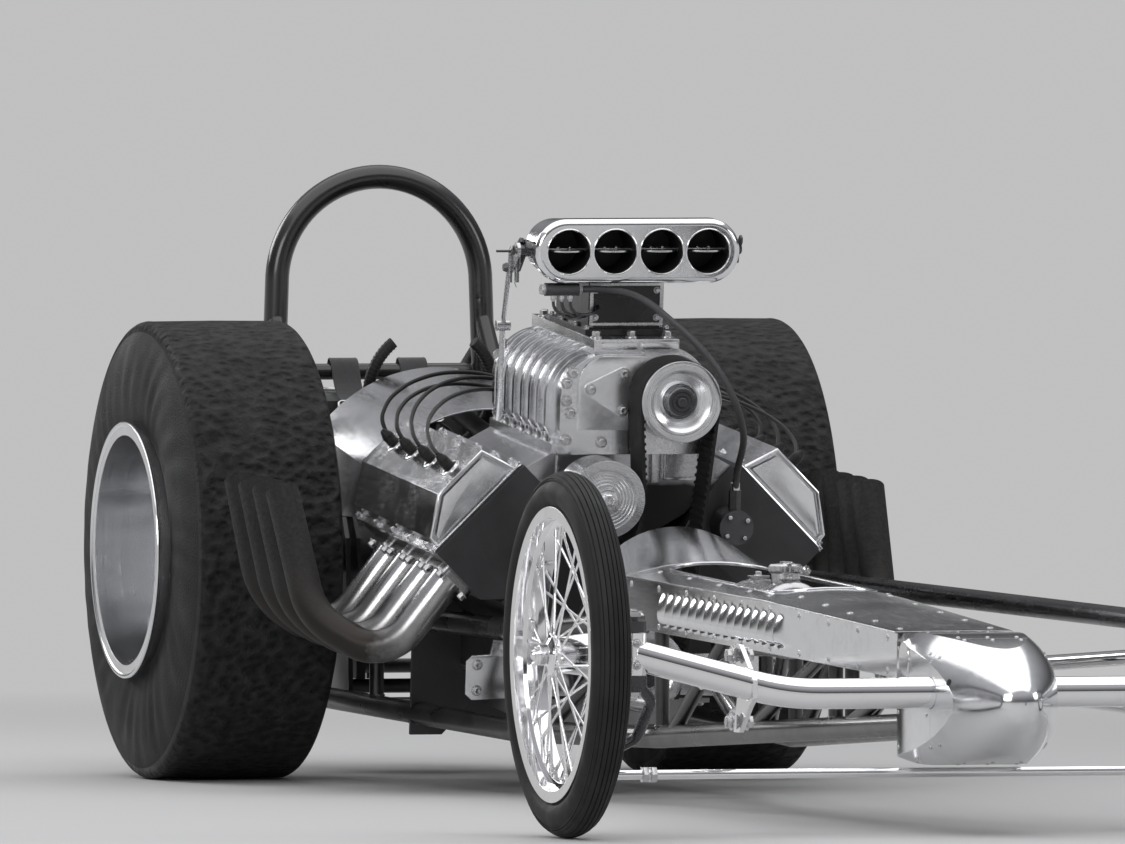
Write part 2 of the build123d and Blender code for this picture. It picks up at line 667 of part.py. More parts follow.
# Knuckles: forked yoke on the kingpin, spindle and curved steering arm
EAR_INNER = 36
EAR_OUTER = 54
SPINDLE_R = HUB_BORE - RUNNING_GAP
BALL_STUD_R = 6
for name, side in SIDES.items():
    with BuildPart() as knuckle:
        for low in (-EAR_OUTER, EAR_INNER):
            with BuildSketch(Plane(origin=spot(WHEELBASE, side * KINGPIN_Y, FRONT_TYRE_R + low))):
                Circle(23)
                with Locations((0, side * 17)):
                    Rectangle(46, 34)
            extrude(amount=EAR_OUTER - EAR_INNER)
        with BuildSketch(Plane(origin=spot(WHEELBASE, side * (KINGPIN_Y + 34), FRONT_TYRE_R - EAR_OUTER))):
            Rectangle(46, 18)
        extrude(amount=2 * EAR_OUTER)
        with BuildSketch(Plane(origin=spot(WHEELBASE, side * KINGPIN_Y, FRONT_TYRE_R - 62))):
            Circle(KINGPIN_R)
        extrude(amount=124)
        spindle_root = spot(WHEELBASE, side * (KINGPIN_Y + 40), FRONT_TYRE_R)
        spindle_end = spot(WHEELBASE, side * (FRONT_TRACK / 2 + 10), FRONT_TYRE_R)
        add(bar([spindle_root, spindle_end], SPINDLE_R))
        arm_end_z = TIE_ROD_Z + 38
        add(bar(
            [
                spot(WHEELBASE - 5, side * (KINGPIN_Y - 6), FRONT_TYRE_R - 44),
                spot(WHEELBASE - 50, side * (KINGPIN_Y - 46), FRONT_TYRE_R - 78),
                spot(WHEELBASE - 118, side * (KINGPIN_Y - 40), FRONT_TYRE_R - 142),
                spot(WHEELBASE - STEER_ARM, side * KINGPIN_Y, arm_end_z),
            ],
            9.5,
            [35, 35],
        ))
        with BuildSketch(Plane(origin=spot(WHEELBASE - STEER_ARM, side * KINGPIN_Y, arm_end_z - 13))):
            Circle(14)
        extrude(amount=26)
        with BuildSketch(Plane(origin=spot(WHEELBASE - STEER_ARM, side * KINGPIN_Y, TIE_ROD_Z - 14))):
            Circle(BALL_STUD_R)
        extrude(amount=50)
        if side > 0:
            with BuildSketch(Plane(origin=spot(WHEELBASE, KINGPIN_Y - LINK_ARM / 2, FRONT_TYRE_R + EAR_INNER + 3))):
                SlotCenterToCenter(LINK_ARM, 30, rotation=90)
            extrude(amount=12)
            with BuildSketch(Plane(origin=spot(WHEELBASE, KINGPIN_Y - LINK_ARM, LINK_Z - 30))):
                Circle(BALL_STUD_R)
            extrude(amount=36)
    write(knuckle, f"knuckle_{name}")

# Tie rod across the car between the two steering arms
with BuildPart() as tie_rod:
    eye_x = WHEELBASE - STEER_ARM
    add(bar([spot(eye_x, -KINGPIN_Y + 10, TIE_ROD_Z), spot(eye_x, KINGPIN_Y - 10, TIE_ROD_Z)], TIE_ROD_R))
    for side in SIDES.values():
        with BuildSketch(Plane(origin=spot(eye_x, side * KINGPIN_Y, TIE_ROD_Z - 10))):
            Circle(15)
        extrude(amount=20)
    for side in SIDES.values():
        with BuildSketch(Plane(origin=spot(eye_x, side * KINGPIN_Y, TIE_ROD_Z - 10))):
            Circle(BALL_STUD_R + (RUNNING_GAP if side > 0 else 1))
        extrude(amount=20, mode=Mode.SUBTRACT)
write(tie_rod, "tie_rod")

# Drag link down the left side, from the pitman arm to the left knuckle
PITMAN_BALL_Z = 357
LINK_EYE_Z = LINK_Z - 18
with BuildPart() as drag_link:
    front_eye = spot(WHEELBASE, KINGPIN_Y - LINK_ARM, LINK_EYE_Z)
    back_eye = spot(PITMAN_X, PITMAN_Y + 10, PITMAN_BALL_Z)
    along_link = (front_eye - back_eye).normalized()
    add(bar([back_eye + along_link * LINK_SHANK, front_eye - along_link * LINK_SHANK], LINK_R))
    add(bar([back_eye + along_link * 16, front_eye - along_link * 12], LINK_SHANK_R))
    with BuildSketch(Plane(origin=front_eye - Vector(0, 0, 8))):
        Circle(17)
    extrude(amount=16)
    with BuildSketch(across(back_eye.X, back_eye.Y - 6, back_eye.Z)):
        Circle(20)
    extrude(amount=12)
    with BuildSketch(Plane(origin=front_eye - Vector(0, 0, 20))):
        Circle(BALL_STUD_R + RUNNING_GAP)
    extrude(amount=40, mode=Mode.SUBTRACT)
    with BuildSketch(across(back_eye.X, back_eye.Y - 30, back_eye.Z)):
        Circle(BALL_STUD_R + BALL_GAP)
    extrude(amount=60, mode=Mode.SUBTRACT)
write(drag_link, "drag_link")

# Pitman arm on the end of the steering box's cross shaft
PITMAN_Z = PITMAN_BALL_Z + PITMAN_ARM
with BuildPart() as pitman_arm:
    with BuildSketch(across(ahead(PITMAN_X), PITMAN_Y - 17, PITMAN_Z)):
        with BuildLine():
            Polyline((-20, 0), (-12, PITMAN_ARM), (12, PITMAN_ARM), (20, 0), close=True)
        make_face()
        Circle(22)
        with Locations((0, PITMAN_ARM)):
            Circle(14)
    extrude(amount=10)
    with BuildSketch(across(ahead(PITMAN_X), PITMAN_Y - 60, PITMAN_Z)):
        Circle(12)
    extrude(amount=56)
    with BuildSketch(across(ahead(PITMAN_X), PITMAN_Y - 10, PITMAN_BALL_Z)):
        Circle(BALL_STUD_R)
    extrude(amount=38)
write(pitman_arm, "pitman_arm")

# Clutch can, fused with the plate that carries the engine on the rails
PLATE_BACK = -BLOCK_LENGTH - 8.3
CAN_LENGTH = 142


def can_bell(grow):
    """Tapered bell of the clutch can, larger all round by grow."""
    with BuildPart() as bell:
        with BuildSketch(section(PLATE_BACK)):
            Circle(190 + grow)
        with BuildSketch(section(PLATE_BACK - CAN_LENGTH)):
            Circle(150 + grow)
        loft(ruled=True)
    return bell.part


with BuildPart() as clutch_can:
    with BuildSketch(section(PLATE_BACK)):
        with BuildLine():
            Polyline(
                (-236, -185), (-236, 70), (-150, 180), (150, 180), (236, 70), (236, -185), (180, -185),
                (120, -120), (-120, -120), (-180, -185), close=True,
            )
        make_face()
    extrude(amount=8)
    add(rail_clearance, mode=Mode.SUBTRACT)
    add(can_bell(0))
    with BuildSketch(section(PLATE_BACK - CAN_LENGTH)):
        Circle(104)
    extrude(amount=-130)
    with BuildSketch(section(PLATE_BACK - 13)):
        Circle(200)
    extrude(amount=13)
write(clutch_can, "clutch_can")

# Steering box on the centre line, with its cross tube out to the pitman arm
COLUMN_SLOPE = 11
column_turn = radians(COLUMN_SLOPE)
column_axis = Vector(-cos(column_turn), 0, sin(column_turn))
column_foot = spot(PITMAN_X - 45, 0, PITMAN_Z + 10)
COLUMN_LENGTH = 570
SHAFT_R = 9
with BuildPart() as steering_box:
    with BuildSketch(Plane(origin=spot(PITMAN_X, 0, PITMAN_Z - 45))):
        RectangleRounded(88, 110, 18)
    extrude(amount=90)
    with BuildSketch(Plane(origin=spot(PITMAN_X - 10, 0, PITMAN_Z - 110))):
        Rectangle(64, 80)
    extrude(amount=70)
    add(can_bell(RUNNING_GAP), mode=Mode.SUBTRACT)
    with BuildSketch(across(ahead(PITMAN_X), 0, PITMAN_Z)):
        Circle(24)
    extrude(amount=PITMAN_Y - 18)
    with BuildSketch(across(ahead(PITMAN_X), PITMAN_Y - 62, PITMAN_Z)):
        Circle(12 + RUNNING_GAP)
    extrude(amount=60, mode=Mode.SUBTRACT)
    with BuildSketch(Plane(origin=column_foot - column_axis * 30, z_dir=column_axis)):
        Circle(16)
    extrude(amount=COLUMN_LENGTH + 30)
    with BuildSketch(Plane(origin=column_foot - column_axis * 10, z_dir=column_axis)):
        Circle(SHAFT_R + RUNNING_GAP)
    extrude(amount=COLUMN_LENGTH + 20, mode=Mode.SUBTRACT)
write(steering_box, "steering_box")

# Steering wheel: open-topped grip on a three-way hub, with its shaft
GRIP_R = 112
wheel_origin = column_foot + column_axis * (COLUMN_LENGTH + 40)
grip_plane = Plane(origin=wheel_origin, x_dir=(0, 1, 0), z_dir=column_axis)
with BuildPart() as steering_wheel:
    with BuildLine(grip_plane) as grip:
        CenterArc((0, 0), GRIP_R, -50, 280)
    with BuildSketch(Plane(origin=grip.line @ 0, z_dir=grip.line % 0)):
        Circle(10)
    sweep(path=grip.line)
    with BuildSketch(grip_plane):
        Circle(28)
        Rectangle(2 * GRIP_R - 4, 22)
        with Locations((0, GRIP_R / 2)):
            Rectangle(22, GRIP_R - 4)
    extrude(amount=6, both=True)
    with BuildSketch(Plane(origin=column_foot, z_dir=column_axis)):
        Circle(SHAFT_R)
    extrude(amount=COLUMN_LENGTH + 40)
write(steering_wheel, "steering_wheel")

# Roll cage: hoop behind the driver, braces to the rails, shoulder bar and chute stays
LEG_Y, LEG_Z = rail_at(UPPER_RAIL, HOOP_X)
PACK_FRONT = -716
hoop_bend_z = HOOP_TOP - HOOP_TUBE_R - HOOP_R
with BuildPart() as roll_cage:
    with BuildLine() as hoop:
        Line(spot(HOOP_X, -LEG_Y, LEG_Z), spot(HOOP_X, -HOOP_R, hoop_bend_z))
        ThreePointArc(
            spot(HOOP_X, -HOOP_R, hoop_bend_z),
            spot(HOOP_X, 0, hoop_bend_z + HOOP_R),
            spot(HOOP_X, HOOP_R, hoop_bend_z),
        )
        Line(spot(HOOP_X, HOOP_R, hoop_bend_z), spot(HOOP_X, LEG_Y, LEG_Z))
    leg_rise = (0, LEG_Y - HOOP_R, hoop_bend_z - LEG_Z)
    with BuildSketch(Plane(origin=spot(HOOP_X, -LEG_Y, LEG_Z), z_dir=leg_rise)):
        Circle(HOOP_TUBE_R)
    sweep(path=hoop.line)
    for side in SIDES.values():
        front_y, front_z = rail_at(UPPER_RAIL, -210)
        add(bar([spot(HOOP_X, side * 186, 790), spot(-210, side * front_y, front_z)], 16))
        rear_y, rear_z = rail_at(UPPER_RAIL, -632)
        knee = spot(-690, side * 120, 560)
        add(bar([spot(HOOP_X, side * 187, 740), knee, spot(-632, side * rear_y, rear_z)], 14, 40))
    add(bar([spot(HOOP_X - 8, -190, 690), spot(HOOP_X - 8, 190, 690)], 14))
    add(bar([spot(-690, -120, 552), spot(-690, 120, 552)], 14))
    add(rail_clearance, mode=Mode.SUBTRACT)
    # Tray for the parachute pack, on two stand-offs from the rear stay
    with BuildSketch(Plane(origin=spot((PACK_FRONT - TAIL_LENGTH) / 2 + 10, 0, 436))):
        RectangleRounded(TAIL_LENGTH + PACK_FRONT + 20, 250, 20)
    extrude(amount=3.5)
    with BuildSketch(Plane(origin=spot(PACK_FRONT + 1, 0, 0), x_dir=(0, 1, 0), z_dir=(1, 0, 0))):
        with Locations((0, 500)):
            Rectangle(250, 128)
    extrude(amount=4)
    for side in SIDES.values():
        add(bar([spot(-690, side * 90, 552), spot(PACK_FRONT + 2, side * 90, 552)], 10))
write(roll_cage, "roll_cage")

# Seat: open bucket between the rails
SEAT_WIDTH = 290
SEAT_WALL = 8
with BuildPart() as seat:
    for wall, mode in ((0, Mode.ADD), (SEAT_WALL, Mode.SUBTRACT)):
        with BuildSketch(across(ahead(0), -SEAT_WIDTH / 2 + wall, 0)):
            with BuildLine():
                Polyline(
                    (-190 + wall, -300 - 6 * wall), (-190 + wall, -232 + wall * 0.2), (-440, -208 - wall),
                    (-496 + wall * 1.2, -640 - 3 * wall), (-452, -640 - 3 * wall), (-350, -350 - 2 * wall),
                    close=True,
                )
            make_face()
        extrude(amount=SEAT_WIDTH - 2 * wall, mode=mode)
    post_foot = rail_at(LOWER_RAIL, -300)[1] + BRACE_R + RUNNING_GAP
    for side in SIDES.values():
        with BuildSketch(Plane(origin=spot(-300, side * 100, post_foot))):
            Rectangle(24, 16)
        extrude(amount=225 - post_foot)
write(seat, "seat")

# Cowl over the driver's legs: an arched skin, cut round the axle housing
COWL = [(190, 211, 286, 640), (-150, 218, 286, 705)]
COWL_SKIN = 3


def cowl_arch(distance, half, low, crown, inset):
    """Arched section of the cockpit cowl, in from the outside by inset."""
    plane = Plane(origin=spot(distance, 0, 0), x_dir=(0, 1, 0), z_dir=(1, 0, 0))
    with BuildSketch(plane, mode=Mode.PRIVATE) as outline:
        with BuildLine():
            shoulder = crown - 110
            Line((-half + inset, low), (-half + inset, shoulder))
            ThreePointArc((-half + inset, shoulder), (0, crown - inset), (half - inset, shoulder))
            Line((half - inset, shoulder), (half - inset, low))
            Line((half - inset, low), (-half + inset, low))
        make_face()
    return outline.sketch


with BuildPart() as cockpit_cowl:
    for row in COWL:
        add(cowl_arch(*row, 0))
    loft(ruled=True)
    for row in ((COWL[0][0] + 1, *COWL[0][1:]), (COWL[1][0] - 1, *COWL[1][1:])):
        add(cowl_arch(*row, COWL_SKIN))
    loft(ruled=True, mode=Mode.SUBTRACT)
    with BuildSketch(across(ahead(0), -400, REAR_TYRE_R)):
        Circle(52)
        with Locations((0, 60)):
            Rectangle(104, 120)
    extrude(amount=800, mode=Mode.SUBTRACT)
    add(rail_clearance, mode=Mode.SUBTRACT)
write(cockpit_cowl, "cockpit_cowl")

# Cockpit sides outside the rails, behind the cowl
SIDE_SKIN = 2.5
SIDE_SKIN_Y = rail_at(UPPER_RAIL, -200)[0] + RAIL_R - 2
with BuildPart() as cockpit_sides:
    for side in SIDES.values():
        outer = SIDE_SKIN_Y if side > 0 else -SIDE_SKIN_Y - SIDE_SKIN
        with BuildSketch(across(ahead(0), outer, 0)):
            with BuildLine():
                Polyline(
                    (-152, -500), (-152, -420), (-120, -340), (-120, -150), (-620, -180), (-640, -330), (-560, -430),
                    (-330, -400), close=True,
                )
            make_face()
        extrude(amount=SIDE_SKIN)
    add(rail_clearance, mode=Mode.SUBTRACT)
write(cockpit_sides, "cockpit_sides")

# Parachute pack on its tray behind the cage
with BuildPart() as parachute_pack:
    with BuildSketch(Plane(origin=spot(-TAIL_LENGTH, 0, 0), x_dir=(0, 1, 0), z_dir=(1, 0, 0))):
        with Locations((0, 545)):
            RectangleRounded(300, 210, 60)
    extrude(amount=PACK_FRONT + TAIL_LENGTH)
    fillet(parachute_pack.faces().sort_by(Axis.X)[0].edges(), 40)
write(parachute_pack, "parachute_pack")

# Brake lever outside the cockpit on the right
with BuildPart() as brake_lever:
    add(bar([spot(-170, -262, 240), spot(-240, -262, 620)], 9))
    add(bar([spot(-236, -262, 600), spot(-262, -262, 742)], 14))
    add(bar([spot(-170, -SIDE_SKIN_Y - SIDE_SKIN - RUNNING_GAP, 240), spot(-170, -276, 240)], 20))
write(brake_lever, "brake_lever")

# Engine block: crankcase with two banks, on its own leaning plane
DECK_OUT = 84
CRANK_NOSE = 35
with BuildPart() as engine_block:
    with BuildSketch(section(-BLOCK_LENGTH)):
        with BuildLine():
            right_outer = bank_point(-1, DECK_OUT, DECK)
            right_inner = bank_point(-1, -DECK_OUT, DECK)
            left_inner = bank_point(1, -DECK_OUT, DECK)
            left_outer = bank_point(1, DECK_OUT, DECK)
            right_waist = bank_point(-1, DECK_OUT, 124)
            left_waist = bank_point(1, DECK_OUT, 124)
            Polyline(
                (-150, -62), (-150, right_waist[1]), right_waist, right_outer, right_inner, (0, 172),
                left_inner, left_outer, left_waist, (150, left_waist[1]), (150, -62), close=True,
            )
        make_face()
    extrude(amount=BLOCK_LENGTH)
    # Timing cover on the front
    with BuildSketch(section(0)):
        with BuildLine():
            Polyline((-90, -62), (-110, 40), (-52, 158), (52, 158), (110, 40), (90, -62), close=True)
        make_face()
    extrude(amount=20)
    with BuildSketch(section(20)):
        Circle(40)
    extrude(amount=CRANK_NOSE - 20)
write(engine_block, "engine_block")

with BuildPart() as oil_pan:
    with BuildSketch(section(-BLOCK_LENGTH)):
        with BuildLine():
            Polyline(
                (-150, -62.3), (-150, -70), (-122, -72), (-104, -132), (104, -132), (122, -72), (150, -70),
                (150, -62.3), close=True,
            )
        make_face()
    extrude(amount=BLOCK_LENGTH)
write(oil_pan, "oil_pan")

# Cylinder heads, valve covers and headers on each bank
EXHAUST_UP = 308
FLANGE = 12
with BuildPart() as cylinder_heads:
    for side in SIDES.values():
        with BuildSketch(section(-BLOCK_LENGTH)):
            with BuildLine():
                half = HEAD_WIDTH / 2
                Polyline(
                    bank_point(side, -half + 14, DECK + 0.3), bank_point(side, -half, DECK + 40),
                    bank_point(side, -half, HEAD_TOP), bank_point(side, half, HEAD_TOP),
                    bank_point(side, half, DECK + 30), bank_point(side, half - 30, DECK + 0.3), close=True,
                )
            make_face()
        extrude(amount=BLOCK_LENGTH)
write(cylinder_heads, "cylinder_heads")

COVER_END_RIM = 7
COVER_END_DEPTH = 6
PLUG_OUT = -19
PLUG_WELL_R = 15
PLUG_WELL_DEPTH = 12
BORES = [-69 - BORE_PITCH * count for count in range(4)]
cover_top = HEAD_TOP + RUNNING_GAP + COVER_HEIGHT


def cover_outline(side):
    """Outline of one valve cover in v and w."""
    low = HEAD_TOP + RUNNING_GAP
    with BuildSketch(mode=Mode.PRIVATE) as outline:
        with BuildLine():
            Polyline(
                bank_point(side, -106, low), bank_point(side, -106, low + 8), bank_point(side, -92, low + 10),
                bank_point(side, -72, cover_top), bank_point(side, 34, cover_top), bank_point(side, 96, low + 26),
                bank_point(side, 98, low + 10), bank_point(side, 110, low + 8), bank_point(side, 110, low),
                close=True,
            )
        make_face()
    return outline.sketch


def bank_plane(side, u, out, up):
    """Plane square to a bank's cylinders, whose normal runs up along them."""
    lean = radians(BANK_ANGLE)
    return Plane(
        origin=on_engine(u, *bank_point(side, out, up)),
        x_dir=engine.x_dir,
        z_dir=engine.z_dir * cos(lean) + Vector(0, side * sin(lean), 0),
    )


with BuildPart() as valve_covers:
    for side in SIDES.values():
        with BuildSketch(section(-BLOCK_LENGTH + 10)):
            add(cover_outline(side))
        extrude(amount=COVER_LENGTH)
    for side in SIDES.values():
        with BuildSketch(section(-BLOCK_LENGTH + 10 + COVER_LENGTH)):
            add(cover_outline(side))
            offset(amount=-COVER_END_RIM, kind=Kind.INTERSECTION, mode=Mode.REPLACE)
        extrude(amount=-COVER_END_DEPTH, mode=Mode.SUBTRACT)
        for bore in BORES:
            with BuildSketch(bank_plane(side, bore, PLUG_OUT, cover_top - PLUG_WELL_DEPTH)):
                Circle(PLUG_WELL_R)
            extrude(amount=PLUG_WELL_DEPTH + 5, mode=Mode.SUBTRACT)
write(valve_covers, "valve_covers")

for name, side in SIDES.items():
    with BuildPart() as headers:
        for count in range(4):
            v, w = bank_point(side, HEAD_WIDTH / 2 + FLANGE / 2, EXHAUST_UP)
            port = on_engine(BORES[count], v, w)
            route = [
                port,
                port + Vector(-25, side * 104, -140),
                spot(852 - 101 * count, side * 505, 302 + 6 * count),
                spot(720 - 89 * count, side * 520, 512 + 5 * count),
            ]
            pipe = bar(route, PIPE_R, [76, 140])
            add(pipe)
            ahead_of_tip = (route[3] - route[2]).normalized()
            with BuildSketch(Plane(origin=route[3] - ahead_of_tip * 90, z_dir=ahead_of_tip)):
                Circle(PIPE_R - PIPE_WALL)
            extrude(amount=100, mode=Mode.SUBTRACT)
            flange_v, flange_w = bank_point(side, HEAD_WIDTH / 2 + RUNNING_GAP, EXHAUST_UP)
            outward = engine.z_dir * -cos(radians(45)) + Vector(0, side * sin(radians(45)), 0)
            flange_plane = Plane(
                origin=on_engine(BORES[count], flange_v, flange_w), x_dir=engine.x_dir, z_dir=outward,
            )
            with BuildSketch(flange_plane):
                RectangleRounded(100, 72, 16)
            extrude(amount=FLANGE)
    write(headers, f"headers_{name}")

# Intake manifold in the valley, bolted between the heads and carrying the supercharger
MANIFOLD_LENGTH = 384
MANIFOLD_FRONT = -16
manifold_top = BLOWER_W - BLOWER_HEIGHT / 2 - RUNNING_GAP
seat_out = -HEAD_WIDTH / 2 - RUNNING_GAP
with BuildPart() as intake_manifold:
    with BuildSketch(section(MANIFOLD_FRONT - MANIFOLD_LENGTH)):
        with BuildLine():
            left_low = bank_point(1, seat_out, DECK + 20)
            left_high = bank_point(1, seat_out, HEAD_TOP - 8)
            right_low = bank_point(-1, seat_out, DECK + 20)
            right_high = bank_point(-1, seat_out, HEAD_TOP - 8)
            Polyline(
                (-24, 208), right_low, right_high, (-132, manifold_top), (132, manifold_top), left_high,
                left_low, (24, 208), close=True,
            )
        make_face()
    extrude(amount=MANIFOLD_LENGTH)
write(intake_manifold, "intake_manifold")

# Supercharger: ribbed case with rounded sides
case_back = BLOWER_FRONT - BLOWER_LENGTH
RIBS = 7
RIB_PITCH = 50
RIB_HEIGHT = 9


def case_outline(grow):
    """Face of the supercharger case in v and w, grown outward by a rib height."""
    half_width = BLOWER_WIDTH / 2 - RIB_HEIGHT + grow
    top = BLOWER_W + BLOWER_HEIGHT / 2 - RIB_HEIGHT + grow
    round_r = 78 + grow
    with BuildSketch(mode=Mode.PRIVATE) as outline:
        with BuildLine():
            low = BLOWER_W - BLOWER_HEIGHT / 2
            Line((-half_width + 22, low), (half_width - 22, low))
            Line((half_width - 22, low), (half_width, low + 40))
            Line((half_width, low + 40), (half_width, top - round_r))
            RadiusArc((half_width, top - round_r), (half_width - round_r, top), -round_r)
            Line((half_width - round_r, top), (-half_width + round_r, top))
            RadiusArc((-half_width + round_r, top), (-half_width, top - round_r), -round_r)
            Line((-half_width, top - round_r), (-half_width, low + 40))
            Line((-half_width, low + 40), (-half_width + 22, low))
        make_face()
    return outline.sketch


with BuildPart() as blower_case:
    with BuildSketch(section(case_back)):
        add(case_outline(0))
    extrude(amount=BLOWER_LENGTH)
    for count in range(RIBS):
        with BuildSketch(section(case_back + 34 + count * RIB_PITCH)):
            add(case_outline(RIB_HEIGHT))
        extrude(amount=12)
    with BuildSketch(section(case_back)):
        with Locations((0, BLOWER_W - BLOWER_HEIGHT / 2 + 8)):
            Rectangle(BLOWER_WIDTH, 16)
        with Locations((0, BLOWER_W + BLOWER_HEIGHT / 2 + 3)):
            Rectangle(150, 26)
    extrude(amount=BLOWER_LENGTH)
write(blower_case, "blower_case")

with BuildPart() as blower_covers:
    for back, thickness in ((BLOWER_FRONT + 0.3, 20), (case_back - 14.3, 14)):
        with BuildSketch(section(back)):
            add(case_outline(2))
        extrude(amount=thickness)
    with BuildSketch(section(BLOWER_FRONT + 20)):
        with Locations(TOP_PULLEY):
            Circle(34)
    extrude(amount=PULLEY_BACK - BLOWER_FRONT - 20.3)
write(blower_covers, "blower_covers")


# Flanged belt pulleys on the crank and the lower rotor, and the polished idler
with BuildPart() as belt_pulleys:
    for centre, hub_r in ((TOP_PULLEY, 24), ((0, 0), 30)):
        with BuildSketch(section(PULLEY_BACK)):
            with Locations(centre):
                Circle(PULLEY_R)
        extrude(amount=PULLEY_WIDTH)
        for back in (0, PULLEY_WIDTH - 4):
            with BuildSketch(section(PULLEY_BACK + back)):
                with Locations(centre):
                    Circle(PULLEY_R + 4)
            extrude(amount=4)
        with BuildSketch(section(PULLEY_BACK + PULLEY_WIDTH - 12)):
            with Locations(centre):
                Circle(PULLEY_R - 12)
                Circle(hub_r, mode=Mode.SUBTRACT)
        extrude(amount=20, mode=Mode.SUBTRACT)
    # Crank hub behind the lower pulley, and the idler on a stand from the manifold
    with BuildSketch(section(CRANK_NOSE + RUNNING_GAP)):
        Circle(38)
    extrude(amount=PULLEY_BACK - CRANK_NOSE)
    with BuildSketch(section(MANIFOLD_FRONT + RUNNING_GAP)):
        with Locations(IDLER):
            Circle(22)
    extrude(amount=PULLEY_BACK - MANIFOLD_FRONT)
    with BuildSketch(section(PULLEY_BACK + 2)):
        with Locations(IDLER):
            Circle(IDLER_R)
    extrude(amount=PULLEY_WIDTH + 4)
    with BuildSketch(section(PULLEY_BACK + PULLEY_WIDTH)):
        with Locations(IDLER):
            Circle(IDLER_R - 14)
            Circle(20, mode=Mode.SUBTRACT)
    extrude(amount=10, mode=Mode.SUBTRACT)
write(belt_pulleys, "belt_pulleys")


def unit(dx, dy):
    """Direction of a step in the plane, as a pair of length one."""
    length = sqrt(dx * dx + dy * dy)
    return (dx / length, dy / length)


def touch_points(first, first_r, second, second_r):
    """Ends of the straight that leaves the first circle and meets the second, belt on the left
    of circles with a positive radius and on the right of circles with a negative one."""
    ax, ay = unit(second[0] - first[0], second[1] - first[1])
    gap = sqrt((second[0] - first[0]) ** 2 + (second[1] - first[1]) ** 2)
    lean = (first_r - second_r) / gap
    level = sqrt(1 - lean * lean)
    nx, ny = (ax * lean - ay * level, ay * lean + ax * level)
    return (
        (first[0] + nx * first_r, first[1] + ny * first_r),
        (second[0] + nx * second_r, second[1] + ny * second_r),
    )


def belt_loop(pulley_r, idler_r):
    """Closed outline round both pulleys, pressed in by the idler."""
    # Clockwise as seen from the front: up the right run, over the top, down the left run
    stops = [((0, 0), pulley_r), (IDLER, -idler_r), (TOP_PULLEY, pulley_r)]
    ends = []
    for here, there in zip(stops, stops[1:] + stops[:1]):
        ends.append(touch_points(here[0], here[1], there[0], there[1]))
    with BuildLine(mode=Mode.PRIVATE) as loop:
        for place, (start, finish) in enumerate(ends):
            Line(start, finish)
            centre, radius = stops[(place + 1) % 3]
            leave = ends[(place + 1) % 3][0]
            middle = unit(finish[0] + leave[0] - 2 * centre[0], finish[1] + leave[1] - 2 * centre[1])
            size = abs(radius)
            arm = (finish[0] - centre[0], finish[1] - centre[1])
            turn = arm[0] * (leave[1] - centre[1]) - arm[1] * (leave[0] - centre[0])
            wide = 1 if (turn < 0) == (radius > 0) else -1
            through = (centre[0] + wide * middle[0] * size, centre[1] + wide * middle[1] * size)
            ThreePointArc(finish, through, leave)
    return loop.line


with BuildPart() as drive_belt:
    with BuildSketch(section(PULLEY_BACK + 4 + (PULLEY_WIDTH - 8 - BELT_WIDTH) / 2)):
        with BuildLine():
            add(belt_loop(PULLEY_R + RUNNING_GAP + BELT_THICK, IDLER_R + RUNNING_GAP))
        make_face()
        with BuildLine():
            add(belt_loop(PULLEY_R + RUNNING_GAP, IDLER_R + RUNNING_GAP + BELT_THICK))
        make_face(mode=Mode.SUBTRACT)
    extrude(amount=BELT_WIDTH)
write(drive_belt, "drive_belt")

# Injector: neck on the case, then the hat with four throats in its face
NECK_TOP = HAT_W - HAT_HEIGHT / 2
NECK_LOW = BLOWER_W + BLOWER_HEIGHT / 2 + 16
NECK_FRONT = -57
NECK_LENGTH = 200
with BuildPart() as injector_neck:
    with BuildSketch(Plane(origin=on_engine(0, 0, NECK_LOW + 0.3), x_dir=engine.x_dir, z_dir=engine.z_dir)):
        with Locations((NECK_FRONT - NECK_LENGTH / 2, 0)):
            Rectangle(NECK_LENGTH + 24, NECK_WIDTH + 16)
    extrude(amount=10)
    with BuildSketch(Plane(origin=on_engine(0, 0, NECK_LOW), x_dir=engine.x_dir, z_dir=engine.z_dir)):
        with Locations((NECK_FRONT - NECK_LENGTH / 2, 0)):
            Rectangle(NECK_LENGTH, NECK_WIDTH)
    extrude(amount=NECK_TOP - NECK_LOW - 0.3)
write(injector_neck, "injector_neck")

